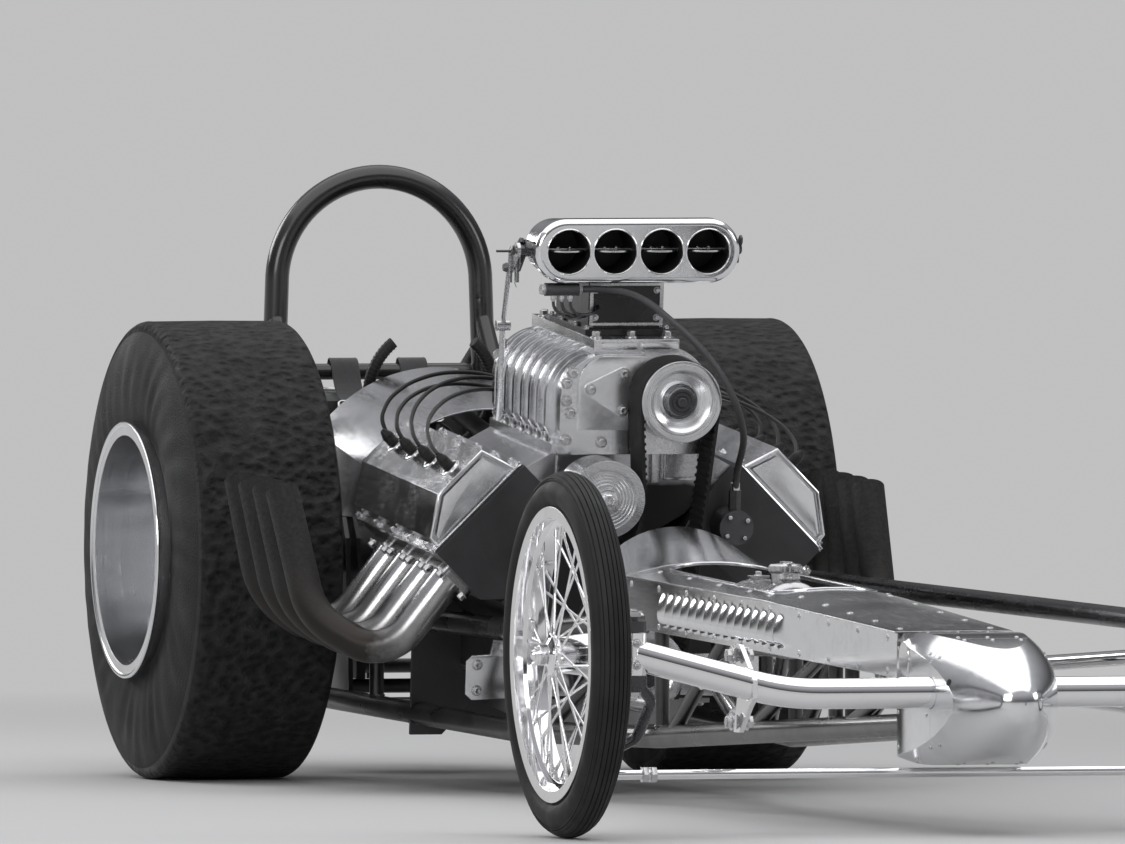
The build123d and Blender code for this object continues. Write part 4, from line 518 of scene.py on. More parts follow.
def make_finishes():
    """Every material of the car."""
    c = bpy.context.scene.car_colours
    alu, chrome, black, tyre = c.aluminium, c.chrome, c.black, c.rubber
    polished_metal("body_aluminium", alu, 0.11, 0.3, cloud=3.0, haze=0.4)
    polished_metal("engine_aluminium", alu, 0.1, 0.32, cloud=14.0, haze=0.6, grain=0.1)
    polished_metal("hat_aluminium", alu, 0.03, 0.16, cloud=8.0, haze=0.4, grain=0.03)
    polished_metal("idler_aluminium", alu, 0.14, 0.3, cloud=20.0, haze=0.3)
    polished_metal("chrome", chrome, 0.02, 0.1, cloud=9.0, haze=0.3, grain=0.02)
    polished_metal("fitting_steel", (0.62, 0.62, 0.63), 0.18, 0.4, cloud=20.0)
    polished_metal("dark_steel", (0.1, 0.1, 0.105), 0.2, 0.42, cloud=12.0, haze=0.4)
    polished_metal("spring_steel", (0.42, 0.42, 0.43), 0.2, 0.4, cloud=30.0)
    black_paint("frame_black", black, 0.22)
    black_paint("housing_black", shade(black, 1.8), 0.34, coat=0.3, dust_top=0.6)
    cast_metal("head_iron", (0.055, 0.055, 0.058), 0.42, metallic=0.35, oil=0.5)
    cast_metal("block_iron", (0.035, 0.035, 0.037), 0.5, metallic=0.25, oil=0.5)
    cast_metal("pan_aluminium", (0.5, 0.5, 0.51), 0.42, oil=0.45)
    cast_metal("drum_iron", (0.18, 0.175, 0.17), 0.45)
    cast_metal("can_steel", (0.1, 0.1, 0.105), 0.42, metallic=0.6)
    cast_metal("neck_dark", (0.05, 0.05, 0.052), 0.32, metallic=0.6, oil=0.4)
    # Flat black of painted shade, for the throat liners, the louvre mouths and the nose's tow hole
    cast_metal("painted_shade_black", (0.008, 0.008, 0.009), 0.6, metallic=0.0)
    manifold_metal("manifold_aluminium", (0.62, 0.62, 0.64))
    rubber("front_rubber", tyre)
    rubber("belt_rubber", shade(tyre, 0.9), 0.7, dust=0.12, grain=500.0)
    rubber("grip_rubber", (0.02, 0.02, 0.02), 0.5, dust=0.05, grain=600.0)
    rubber("wire_rubber", (0.012, 0.012, 0.012), 0.34, dust=0.05, grain=700.0)
    pipe_steel("pipe_steel", chrome, c.soot)
    canvas("canvas", c.canvas)
    canvas("webbing", (0.05, 0.05, 0.052), 2600.0)
    vinyl("vinyl", (0.022, 0.021, 0.02))
    braid("hose_braid", (0.14, 0.14, 0.145))
    top_pulley = on_engine(0.1, *TOP_PULLEY)
    spun_aluminium("pulley_aluminium", shade(alu, 0.9), top_pulley, ENGINE_ALONG, 0.14, 0.4, 420.0)
    for name, centre in REAR_CENTRES.items():
        spun_aluminium(f"dish_{name}", alu, centre, (0, 1, 0), 0.1, 0.32, 260.0)
        slick_rubber(f"slick_{name}", tyre, centre)


NODE_FINISH = {
    "frame_black": ("side_frame_left", "side_frame_right", "cross_members", "roll_cage"),
    "chrome": ("front_axle", "radius_rods", "tie_rod", "wire_wheel_left", "wire_wheel_right"),
    "dark_steel": ("drag_link", "pitman_arm", "knuckle_left", "knuckle_right"),
    "body_aluminium": ("nose_collar", "nose_cone", "side_panels", "hood", "cowl_dome", "cockpit_cowl", "cockpit_sides"),
    "housing_black": ("rear_axle_housing", "steering_box"),
    "grip_rubber": ("steering_wheel",),
    "vinyl": ("seat",),
    "fitting_steel": ("brake_lever", "butterflies", "throttle_linkage", "fuel_tank"),
    "block_iron": ("engine_block",),
    "head_iron": ("cylinder_heads",),
    "pan_aluminium": ("oil_pan",),
    "can_steel": ("clutch_can",),
    "engine_aluminium": ("valve_covers", "blower_case", "blower_covers"),
    "hat_aluminium": ("injector_hat",),
    "pipe_steel": ("headers_left", "headers_right"),
    "manifold_aluminium": ("intake_manifold",),
    "belt_rubber": ("drive_belt",),
    "pulley_aluminium": ("belt_pulleys",),
    "neck_dark": ("injector_neck", "magneto"),
    "drum_iron": ("brake_drum_left", "brake_drum_right"),
    "dish_left": ("dished_wheel_left",),
    "dish_right": ("dished_wheel_right",),
    "front_rubber": ("front_tyre_left", "front_tyre_right"),
    "slick_left": ("rear_slick_left",),
    "slick_right": ("rear_slick_right",),
    "canvas": ("parachute_pack",),
    "wire_rubber": ("plug_wires",),
    "hose_braid": ("fuel_lines",),
}


def finish_of(name):
    """A material made by make_finishes."""
    return bpy.data.materials[FINISH_PREFIX + name]


# Ways to make meshes


def linked(name, stock):
    """A new object of the scene from a mesh in the making."""
    mesh = bpy.data.meshes.new(name)
    stock.to_mesh(mesh)
    stock.free()
    piece = bpy.data.objects.new(name, mesh)
    bpy.context.scene.collection.objects.link(piece)
    return piece


def dress(piece, material, body="chassis", smooth=True):
    """Give a piece its finish, and let it ride on a body."""
    mesh = piece.data
    mesh.materials.clear()
    mesh.materials.append(finish_of(material))
    mesh.polygons.foreach_set("use_smooth", [smooth] * len(mesh.polygons))
    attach(piece, body)


def turns(count, shift=0.0):
    """Angles spaced evenly round a circle, all moved on by a share of one space."""
    return [tau * (place + shift) / count for place in range(count)]


def upright(turn):
    """Direction on a wheel's face: this far round from straight up."""
    return Vector((sin(turn), 0, cos(turn)))


def neighbours(rows, closed):
    """Each row with the next one, and the last with the first again if closed."""
    return zip(rows, rows[1:] + rows[:1]) if closed else zip(rows, rows[1:])


def frame_for(axis):
    """Two directions square to an axis and to each other."""
    axis = Vector(axis).normalized()
    guide = Vector((0, 0, 1)) if abs(axis.z) < 0.9 else Vector((1, 0, 0))
    first = axis.cross(guide).normalized()
    return axis, first, axis.cross(first).normalized()


# Edges sharper than this are shaded as edges
SHARP_ANGLE = radians(35)


class Stock:
    """Mesh in the making: solids added one by one, then joined as a single object."""

    def __init__(self):
        self.bm = bmesh.new()

    def skin(self, rows, closed=False):
        """Join rows of corners into a tube, its ends capped unless it is a ring."""
        for low, high in neighbours(rows, closed):
            for (a, b), (c, d) in zip(neighbours(low, True), neighbours(high, True)):
                self.bm.faces.new((a, b, d, c))
        if not closed:
            self.bm.faces.new(rows[0][::-1])
            self.bm.faces.new(rows[-1])

    def lathe(self, origin, axis, outline, steps=24, closed=False):
        """Turn an outline of (along, radius) about an axis."""
        axis, first, second = frame_for(axis)
        rows = []
        for along, radius in outline:
            middle = Vector(origin) + axis * along
            if radius < 1e-7:
                rows.append([self.bm.verts.new(middle)])
                continue
            rows.append([
                self.bm.verts.new(middle + (first * cos(t) + second * sin(t)) * radius) for t in turns(steps)])
        for low, high in neighbours(rows, closed):
            for step in range(steps):
                after = (step + 1) % steps
                if len(low) > 1 and len(high) > 1:
                    self.bm.faces.new((low[step], high[step], high[after], low[after]))
                elif len(high) > 1:
                    self.bm.faces.new((low[0], high[step], high[after]))
                elif len(low) > 1:
                    self.bm.faces.new((low[step], high[0], low[after]))

    def knob(self, origin, axis, outline, steps=24):
        """Turn an outline about an axis and close both of its ends with flat faces."""
        self.lathe(origin, axis, [(outline[0][0], 0), *outline, (outline[-1][0], 0)], steps)

    def bolt(self, seat, axis, across, height, washer=True):
        """Hexagon bolt head on a washer, chamfered on top."""
        flat = across / 2
        point = flat / cos(pi / 6)
        if washer:
            self.knob(seat, axis, [(-0.0004, point * 1.3), (height * 0.2, point * 1.3)], 20)
        base = height * 0.2 if washer else -0.0004
        self.lathe(seat, axis, [
            (base, 0), (base, point), (base + height * 0.82, point), (base + height, flat * 0.94),
            (base + height, flat * 0.3), (base + height * 0.9, 0)], 6)

    def button(self, seat, axis, radius, height, steps=12):
        """Domed rivet or button head."""
        self.knob(seat, axis, [
            (-0.0004, radius), (height * 0.3, radius), (height * 0.75, radius * 0.72),
            (height, radius * 0.3)], steps)

    def tube(self, points, radius, steps=10, closed=False, taper=None):
        """Round bar along points, its ends capped unless it is a ring."""
        points = [Vector(p) for p in points]
        last = len(points) - 1
        rows, guide = [], None
        for place, point in enumerate(points):
            before = points[place - 1] if closed or place > 0 else point
            after = points[0 if place == last else place + 1] if closed or place < last else point
            axis = (after - before).normalized()
            if guide is None:
                guide = frame_for(axis)[1]
            guide = (guide - axis * guide.dot(axis)).normalized()
            second = axis.cross(guide)
            size = radius * taper[place] if taper else radius
            rows.append([
                self.bm.verts.new(point + (guide * cos(t) + second * sin(t)) * size) for t in turns(steps)])
        self.skin(rows, closed)

    def prism(self, outline, depth, bevel=0.0):
        """Flat plate: outline points in the world, thickened by a depth vector, with beveled rims."""
        low = [self.bm.verts.new(Vector(p)) for p in outline]
        high = [self.bm.verts.new(vert.co + Vector(depth)) for vert in low]
        faces = [self.bm.faces.new(low[::-1]), self.bm.faces.new(high)]
        for (a, b), (c, d) in zip(neighbours(low, True), neighbours(high, True)):
            faces.append(self.bm.faces.new((a, b, d, c)))
        if bevel > 0:
            edges = {edge for face in faces for edge in face.edges}
            bmesh.ops.bevel(
                self.bm, geom=list(edges), offset=bevel, segments=2, affect="EDGES", profile=0.7,
                clamp_overlap=True)

    def engine_plate(self, u, outline, depth, bevel=0.0):
        """Plate square to the crank: outline of (across, above), thickened forward."""
        self.prism([on_engine(u, v, w) for v, w in outline], ENGINE_ALONG * depth, bevel)

    def block(self, centre, half_x, half_y, depth, bevel):
        """Level plate with straight sides on a centre, thickened upward."""
        corners = [centre + Vector((half_x * x, half_y * y, 0)) for x, y in ((-1, -1), (1, -1), (1, 1), (-1, 1))]
        self.prism(corners, UP * depth, bevel)

    def spring(self, start, finish, coil_r, wire_r, coils, steps=12):
        """Coil spring with a straight hook at each end."""
        start, finish = Vector(start), Vector(finish)
        axis, first, second = frame_for(finish - start)
        length = (finish - start).length
        lead = length * 0.12
        points = [start]
        for step in range(int(coils * steps) + 1):
            share = step / (coils * steps)
            angle = tau * coils * share
            along = lead + (length - 2 * lead) * share
            points.append(start + axis * along + (first * cos(angle) + second * sin(angle)) * coil_r)
        points.append(finish)
        self.tube(points, wire_r, 6)

    def object(self, name, material, slot_name, body="chassis", smooth=True):
        """Close the mesh and make it an object of the car."""
        bmesh.ops.recalc_face_normals(self.bm, faces=self.bm.faces)
        piece = linked(name, self.bm)
        dress(piece, material, body, smooth)
        if smooth:
            piece.data.set_sharp_from_angle(angle=SHARP_ANGLE)
        return piece


def three_point_arc(first, middle, last, steps):
    """Points on the arc through three outline points, both ends included."""
    (ax, ay), (bx, by), (cx, cy) = first, middle, last
    d = 2 * (ax * (by - cy) + bx * (cy - ay) + cx * (ay - by))
    a2, b2, c2 = ax * ax + ay * ay, bx * bx + by * by, cx * cx + cy * cy
    ux = (a2 * (by - cy) + b2 * (cy - ay) + c2 * (ay - by)) / d
    uy = (a2 * (cx - bx) + b2 * (ax - cx) + c2 * (bx - ax)) / d
    radius = hypot(ax - ux, ay - uy)
    angles = [atan2(y - uy, x - ux) for x, y in (first, middle, last)]
    way = 1 if (angles[1] - angles[0]) % tau < (angles[2] - angles[0]) % tau else -1
    sweep = ((angles[2] - angles[0]) * way) % tau * way
    return [
        (ux + radius * cos(angles[0] + sweep * s / steps), uy + radius * sin(angles[0] + sweep * s / steps))
        for s in range(steps + 1)]


# Tyres


def front_tyre_outline(groove):
    """Section of a front tyre as (outward, radius): ribbed tread, stepped shoulder, round wall."""
    half = 0.0325
    foot = 0.2293
    crown_half = 0.0195
    side = [(half - 0.009, foot), (half - 0.009, foot + 0.015)]
    side += three_point_arc((half - 0.009, foot + 0.015), (half, foot + 0.042), (half - 0.008, 0.2835), 12)[1:]
    # Two rings stand out on the shoulder
    side += [(half - 0.0082, 0.2842), (half - 0.0066, 0.2848), (half - 0.0066, 0.2862), (half - 0.0088, 0.2868)]
    side += [(half - 0.0096, 0.2882), (half - 0.0082, 0.2888), (half - 0.0086, 0.2902), (half - 0.0108, 0.2908)]
    side += [(half - 0.0124, 0.2922)]
    tread = []
    ribs = 5
    width = 2 * crown_half / ribs
    for rib in range(ribs):
        out = crown_half - rib * width
        for place, drop in ((0.0, groove), (0.1, 0.0), (0.86, 0.0), (0.96, groove)):
            y = out - place * width
            radius = FRONT_TYRE_R - 0.0075 * (y / crown_half) ** 2 * 0.9
            tread.append((y, radius - drop))
    other = [(-y, r) for y, r in reversed(side)]
    return side + tread + other


class CAR_OT_front_tyres(bpy.types.Operator):
    """Ribbed front tyres in place of the plain ones"""
    bl_idname = "car.front_tyres"
    bl_label = "Front Tyres"

    def execute(self, context):
        outline = front_tyre_outline(context.scene.car_sizes.tyre_groove)
        for name, side in SIDES.items():
            stock = Stock()
            stock.lathe(FRONT_CENTRES[name], (0, side, 0), outline, 160, closed=True)
            tyre = stock.object(f"ribbed_tyre_{name}", "front_rubber", "tyre", f"front_wheel_{name}")
            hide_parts(f"front_tyre_{name}")
        return {"FINISHED"}


class CAR_OT_rear_slicks(bpy.types.Operator):
    """Slicks with wrinkled sidewalls in place of the plain ones"""
    bl_idname = "car.rear_slicks"
    bl_label = "Rear Slicks"

    def execute(self, context):
        half = 0.135
        foot = 0.2035
        wall = three_point_arc((half - 0.004, foot), (half + 0.008, 0.29), (half - 0.008, REAR_TYRE_R - 0.014), 22)
        shoulder = three_point_arc(
            (half - 0.008, REAR_TYRE_R - 0.014), (half - 0.014, REAR_TYRE_R - 0.004),
            (half - 0.028, REAR_TYRE_R - 0.001), 5)[1:]
        top = [(half - 0.028 - step * 0.0214, REAR_TYRE_R - 0.001 + 0.0002 * step) for step in range(1, 6)]
        side = wall + shoulder + top
        outline = side + [(-y, r) for y, r in reversed(side)]
        height = context.scene.car_sizes.slick_wrinkle
        for name, way in SIDES.items():
            stock = Stock()
            centre = Vector(REAR_CENTRES[name])
            stock.lathe(centre, (0, way, 0), outline, 288, closed=True)
            seed = 3.0 if way > 0 else 7.0
            for vert in stock.bm.verts:
                offset = vert.co - centre
                radius = hypot(offset.x, offset.z)
                angle = atan2(offset.z, offset.x)
                mid = max(0.0, 1 - abs(radius - 0.3) / 0.085)
                if mid <= 0 or abs(offset.y) < 0.09:
                    continue
                lean = angle * 34 + (radius - 0.2) * 46 + 1.6 * sin(angle * 5 + seed)
                fold = sin(lean) * (0.65 + 0.35 * sin(angle * 11 + seed * 2))
                vert.co.y += (1 if offset.y > 0 else -1) * height * (fold - 0.7) * mid
            slick = stock.object(f"wrinkled_slick_{name}", f"slick_{name}", "tyre", f"rear_wheel_{name}")
            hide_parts(f"rear_slick_{name}")
        return {"FINISHED"}


class CAR_OT_finishes(bpy.types.Operator):
    """Materials for every node of the model"""
    bl_idname = "car.finishes"
    bl_label = "Finishes"

    def execute(self, context):
        make_finishes()
        bare = set(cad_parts)
        for finish, names in NODE_FINISH.items():
            for name in names:
                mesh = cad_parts[name].data
                mesh.materials.clear()
                mesh.materials.append(finish_of(finish))
                bare.discard(name)
        if bare:
            raise RuntimeError(f"these nodes have no finish: {sorted(bare)}")
        return {"FINISHED"}


# Engine fittings


def box(low_v, low_w, high_v, high_w):
    """Corners of a rectangle across and above the crank."""
    return (low_v, low_w), (high_v, low_w), (high_v, high_w), (low_v, high_w)


class CAR_OT_blower_fittings(bpy.types.Operator):
    """Bolts, cover plate and pads of the supercharger"""
    bl_idname = "car.blower_fittings"
    bl_label = "Blower Fittings"

    def execute(self, context):
        across = context.scene.car_sizes.bolt_across
        bolts = Stock()
        # Round the front cover, apart from what the drive pulley hides
        ring = [(side * v, w) for side in (1, -1) for v, w in (
            (0.118, 0.500), (0.128, 0.482), (0.128, 0.452), (0.1205, 0.431), (0.0646, 0.381), (0.127, 0.385))]
        ring += [(0.0, 0.371)]
        for v, w in ring:
            near_pulley = hypot(v - TOP_PULLEY[0], w - TOP_PULLEY[1]) < 0.0825 or (v > 0.1 and w < 0.45)
            if not near_pulley:
                bolts.bolt(on_engine(BLOWER_FACE, v, w), ENGINE_ALONG, across, 0.009)
            bolts.bolt(on_engine(BLOWER_TAIL, v, w), -ENGINE_ALONG, across, 0.009)
        # Along the flange that meets the manifold, between the ribs
        for step in range(7):
            u = BLOWER_BACK + 0.015 + 0.05 * step
            for side in (1, -1):
                bolts.bolt(on_engine(u, side * 0.1355, 0.376), ENGINE_UP, across * 0.95, 0.011)
        # Neck flange, and the case flange ahead of it
        for u in (-0.265, -0.2, -0.114, -0.049):
            for side in (1, -1):
                bolts.bolt(on_engine(u, side * 0.0702, 0.5643), ENGINE_UP, 0.0075, 0.007, washer=False)
        for v in (-0.062, 0.0, 0.062):
            bolts.bolt(on_engine(-0.018, v, 0.554), ENGINE_UP, across, 0.009)
            bolts.bolt(on_engine(-0.345, v, 0.554), ENGINE_UP, across, 0.009)
        # Three bolts of the small plate
        plate_bolts = ((-0.0875, 0.4718), (-0.030, 0.499), (-0.030, 0.436))
        for v, w in plate_bolts:
            bolts.bolt(on_engine(BLOWER_FACE + 0.0075, v, w), ENGINE_ALONG, across * 0.95, 0.008)
        bolts.object("blower_bolts", "fitting_steel", "trim_steel")

        # Triangular plate with rounded corners, and raised pads on the cover's upper edge
        plate = Stock()
        middle_v, middle_w = (sum(p[k] for p in plate_bolts) / 3 for k in (0, 1))
        corners = sorted((atan2(w - middle_w, v - middle_v), v, w) for v, w in plate_bolts)
        outline = [
            (v + 0.0105 * cos(heading + radians(9.5) * step), w + 0.0105 * sin(heading + radians(9.5) * step))
            for heading, v, w in corners for step in range(-6, 7)]
        plate.engine_plate(BLOWER_FACE + 0.0037, outline, 0.004, 0.001)
        # Raised cover plate with a round upper corner each side, inside the ring of bolts
        quarter = [pi / 2 * s / 8 for s in range(9)]
        corners = [(0.108, 0.402), (-0.108, 0.402)]
        corners += [(-0.058 - 0.050 * cos(t), 0.4785 + 0.050 * sin(t)) for t in quarter]
        corners += [(0.058 + 0.050 * sin(t), 0.4785 + 0.050 * cos(t)) for t in quarter]
        plate.engine_plate(BLOWER_FACE - 0.0003, corners, 0.0043, 0.0012)
        # Long oval bosses along the front edge of the top flange
        for ends in ((-0.057, -0.005), (0.013, 0.067)):
            oval = [
                (end + 0.0055 * cos(t), 0.5425 + 0.0065 * sin(t))
                for end, start in zip(ends, (pi / 2, -pi / 2)) for t in [start + pi * s / 8 for s in range(9)]]
            plate.engine_plate(0.0155, oval, 0.006, 0.0018)
        plate.lathe(on_engine(BLOWER_FACE, *TOP_PULLEY), ENGINE_ALONG, [
            (-0.0003, 0.0345), (-0.0003, 0.0575), (0.0052, 0.0575), (0.0062, 0.0565),
            (0.0062, 0.0345)], 48, closed=True)
        plate.object("blower_plate", "engine_aluminium", "blower_magnesium")

        # Frame round the burst panel on the neck's front, and the manifold's raised front rims
        frames = Stock()
        for side in (-1, 1):
            v = side * 0.0615
            frames.engine_plate(NECK_FACE, box(v - 0.003, 0.566, v + 0.003, 0.646), 0.004, 0.0008)
            for w in (0.583, 0.630):
                frames.bolt(on_engine(NECK_FACE, side * 0.054, w), ENGINE_ALONG, 0.008, 0.006)
        for w in (0.572, 0.6405):
            frames.engine_plate(NECK_FACE, box(-0.0645, w - 0.0028, 0.0645, w + 0.0028), 0.0045, 0.0008)
        for low_v, high_v in ((-0.128, 0.030), (0.062, 0.128)):
            for sides in (
                    (low_v, 0.3525, high_v, 0.3575), (low_v, 0.3095, high_v, 0.3145),
                    (low_v, 0.3095, low_v + 0.005, 0.3575), (high_v - 0.005, 0.3095, high_v, 0.3575)):
                frames.engine_plate(MANIFOLD_FACE, box(*sides), 0.005, 0.0008)
        frames.engine_plate(MANIFOLD_FACE, box(0.038, 0.306, 0.055, 0.358), 0.012, 0.002)
        frames.object("front_frames", "fitting_steel", "manifold_aluminium")
        return {"FINISHED"}


class CAR_OT_belt_drive(bpy.types.Operator):
    """Pulley faces, hub caps, idler spiral and belt teeth"""
    bl_idname = "car.belt_drive"
    bl_label = "Belt Drive"

    def execute(self, context):
        # Dished faces of the two pulleys
        faces = Stock()
        for v, w in (TOP_PULLEY, (0.0, 0.0)):
            faces.lathe(on_engine(0.112, v, w), ENGINE_ALONG, [
                (0.0002, 0.0244), (0.0002, 0.030), (0.0022, 0.0345), (0.0062, 0.045), (0.0096, 0.0525),
                (0.0114, 0.0538), (0.0002, 0.0538)], 64, closed=True)
            faces.lathe(on_engine(PULLEY_FACE, v, w), ENGINE_ALONG, [
                (-0.0002, 0.0548), (-0.0002, 0.0692), (0.0008, 0.0686), (0.0014, 0.0665), (0.0014, 0.0572),
                (0.0008, 0.0551)], 64, closed=True)
        faces.object("pulley_faces", "pulley_aluminium", "cover_polished")

        caps = Stock()
        for v, w, hub in ((*TOP_PULLEY, 0.0236), (0.0, 0.0, 0.0296)):
            caps.knob(on_engine(PULLEY_FACE, v, w), ENGINE_ALONG, [
                (-0.0002, hub), (0.0018, hub), (0.003, hub - 0.0012), (0.003, hub - 0.006), (0.0014, hub - 0.0072),
                (0.0014, 0.0105), (0.0006, 0.0098)], 48)
            caps.bolt(on_engine(PULLEY_FACE + 0.0006, v, w), ENGINE_ALONG, 0.0165, 0.008, washer=False)
        caps.object("pulley_caps", "dark_steel", "link_steel")

        # Idler: turned face with a spiral groove's ridge, and its centre bolt
        idler = Stock()
        idler.lathe(on_engine(IDLER_FACE, *IDLER), ENGINE_ALONG, [
            (-0.0002, 0.0525), (-0.0002, 0.0655), (0.0012, 0.0648), (0.0018, 0.0625), (0.0018, 0.0555),
            (0.001, 0.0532)], 64, closed=True)
        spiral = []
        for step in range(220):
            share = step / 219
            turn, radius = tau * 4.5 * share, 0.0245 + 0.0255 * share
            spiral.append(on_engine(PULLEY_FACE + 0.0001, IDLER[0] + radius * cos(turn), IDLER[1] + radius * sin(turn)))
        idler.tube(spiral, 0.0011, 8)
        idler.knob(on_engine(IDLER_FACE, *IDLER), ENGINE_ALONG, [
            (-0.0002, 0.0185), (0.0022, 0.0175), (0.003, 0.0145)], 36)
        idler.bolt(on_engine(IDLER_FACE + 0.003, *IDLER), ENGINE_ALONG, 0.019, 0.010, washer=False)
        idler.object("idler_face", "idler_aluminium", "cover_polished")

        # Teeth on the inner face of the belt's straight runs
        teeth = Stock()
        crank = (0.0, 0.0)
        inner_r, idler_r = PULLEY_R + 0.0003, PULLEY_R + 0.0053
        runs = (
            touch_line(crank, inner_r, IDLER, -idler_r), touch_line(IDLER, -idler_r, TOP_PULLEY, inner_r),
            touch_line(TOP_PULLEY, inner_r, crank, inner_r))
        pitch = context.scene.car_sizes.belt_pitch
        for start, finish in runs:
            start, finish = Vector(start), Vector(finish)
            way = (finish - start).normalized()
            inward = Vector((way.y, -way.x))
            count = int((finish - start).length / pitch)
            for step in range(1, count):
                foot = start + way * (pitch * step)
                outline = [
                    foot + way * along + inward * deep for along, deep in (
                        (-0.0034, -0.0004), (-0.0021, 0.0026), (0.0021, 0.0026), (0.0034, -0.0004))]
                teeth.engine_plate(PULLEY_BACK + 0.0041, outline, 0.0758)
        teeth.object("belt_teeth", "belt_rubber", "belt_rubber", smooth=False)
        return {"FINISHED"}


def touch_line(first, first_r, second, second_r):
    """Ends of the belt's straight run between two round seats, a negative radius being outside the loop."""
    ax, ay = second[0] - first[0], second[1] - first[1]
    gap = hypot(ax, ay)
    ax, ay = ax / gap, ay / gap
    lean = (first_r - second_r) / gap
    level = sqrt(1 - lean * lean)
    nx, ny = ax * lean - ay * level, ay * lean + ax * level
    return (
        (first[0] + nx * first_r, first[1] + ny * first_r),
        (second[0] + nx * second_r, second[1] + ny * second_r))


def on_shaft(origin, *steps):
    """Points beside the butterfly shaft, each a step along and above the crank away."""
    return [origin + ENGINE_ALONG * u + ENGINE_UP * w for u, w in steps]


class CAR_OT_injector_fittings(bpy.types.Operator):
    """Black throat liners of painted shade, screws, levers and springs of the injector"""
    bl_idname = "car.injector_fittings"
    bl_label = "Injector Fittings"

    def execute(self, context):
        shade_liners, rims, screws = Stock(), Stock(), Stock()
        for place in range(4):
            v = (place - 1.5) * PORT_PITCH
            # Painted shade: a black liner inside each throat stands for the shade deep in the port
            shade_liners.knob(on_engine(HAT_FACE - PORT_DEPTH, v, HAT_HEIGHT), ENGINE_ALONG, [
                (0.0003, PORT_R - 0.0002), (PORT_DEPTH - 0.004, PORT_R - 0.0002),
                (PORT_DEPTH - 0.004, PORT_R - 0.0012), (0.0012, PORT_R - 0.0012)], 48)
            rims.lathe(on_engine(HAT_FACE, v, HAT_HEIGHT), ENGINE_ALONG, [
                (-0.0036, PORT_R - 0.0011), (-0.0012, PORT_R - 0.0016), (0.0008, PORT_R - 0.0009),
                (0.0018, PORT_R + 0.0002), (0.0012, PORT_R + 0.0014), (-0.0002, PORT_R + 0.002),
                (-0.0036, PORT_R - 0.0001)], 64, closed=True)
            for across in (-0.0105, 0.0105):
                screws.button(on_engine(SHAFT_U, v + across, HAT_HEIGHT + 0.004), ENGINE_UP, 0.0034, 0.0026)
            # Halves of the shaft that show above and below each plate
            screws.tube([
                on_engine(SHAFT_U + 0.0005, v + reach, HAT_HEIGHT) for reach in (0.002 - PORT_R, PORT_R - 0.002)],
                0.0042, 12)
        shade_liners.object("throat_shade_liners", "painted_shade_black", "neck_dark")
        rims.object("throat_rims", "chrome", "hat_polished")
        screws.object("butterfly_screws", "fitting_steel", "trim_steel")

        # Left end of the shaft: collar and stop arm
        arms = Stock()
        end = on_engine(SHAFT_U, 0.1865, HAT_HEIGHT)
        arms.knob(end, LEFT, [(-0.006, 0.009), (0.002, 0.009), (0.004, 0.007)])
        arms.prism(
            on_shaft(end - LEFT * 0.004, (-0.008, -0.004), (-0.008, 0.005), (0.016, 0.026), (0.024, 0.022),
                     (0.024, 0.014), (0.004, -0.007)), LEFT * 0.004, 0.0008)
        arms.prism(
            on_shaft(end - LEFT * 0.010, (0.006, -0.020), (0.006, 0.004), (0.014, 0.008), (0.020, 0.0),
                     (0.016, -0.022)), LEFT * 0.006, 0.0008)
        # Right end: bracket, quadrant, ball studs and two return springs
        near = on_engine(SHAFT_U, -0.1865, HAT_HEIGHT)
        arms.knob(near, -LEFT, [(-0.006, 0.0115), (0.004, 0.0115), (0.006, 0.009), (0.016, 0.009)])
        arms.prism(
            on_shaft(near - LEFT * 0.003, (-0.05, -0.036), (-0.05, 0.006), (-0.03, 0.018), (0.004, 0.018),
                     (0.012, 0.006), (0.0, -0.012), (-0.03, -0.04)), LEFT * -0.003, 0.0008)
        lever = near - LEFT * 0.0235
        arms.button(lever, -LEFT, 0.008, 0.005)
        stud = lever + Vector((-0.034, -0.004, -0.030))
        arms.knob(stud, -LEFT, [(-0.006, 0.006), (0.0, 0.0085), (0.006, 0.006)], 20)
        for seat in on_shaft(near - LEFT * 0.006, (-0.046, -0.002), (-0.010, 0.013)):
            arms.bolt(seat, -LEFT, 0.009, 0.006)
        tail = on_engine(SHAFT_U - 0.02, -0.216, HAT_HEIGHT - 0.004)
        arms.tube([tail + LEFT * 0.012, tail - LEFT * 0.02], 0.0022)
        arms.object("throttle_arms", "dark_steel", "trim_steel")

        springs = Stock()
        for shift in (0.0, -0.012):
            springs.spring(
                on_engine(SHAFT_U - 0.026, -0.197 + shift, HAT_HEIGHT + 0.004),
                on_engine(SHAFT_U - 0.020, -0.199 + shift, HAT_HEIGHT - 0.066), 0.0036, 0.0009, 25)
        springs.object("throttle_springs", "spring_steel", "trim_steel")

        # Fittings on the barrel valve, and the small pipes from it to the neck
        valve_w = 0.637
        fittings = Stock()
        for v, length in ((-0.157, 0.009), (-0.098, -0.007)):
            way = -LEFT if length > 0 else LEFT
            fittings.bolt(on_engine(-0.011, v, valve_w), way, 0.017, abs(length), washer=False)
        for v in (-0.142, -0.127, -0.112):
            fittings.knob(on_engine(-0.011, v, valve_w - 0.0105), -ENGINE_UP, [
                (-0.001, 0.005), (0.006, 0.005), (0.008, 0.0035), (0.010, 0.0035)], 12)
        fittings.lathe(on_engine(0.045, 0.172, 0.299), ENGINE_UP, [
            (-0.001, 0.0062), (-0.001, 0.0092), (0.012, 0.0082), (0.013, 0.0066)], 16, closed=True)
        for turn in (0.6, 2.2, 3.8, 5.4):
            seat = on_engine(0.0623, 0.172 + 0.022 * cos(turn), 0.236 + 0.022 * sin(turn))
            fittings.bolt(seat, ENGINE_ALONG, 0.008, 0.006, washer=False)
        fittings.object("fuel_fittings", "fitting_steel", "trim_steel")

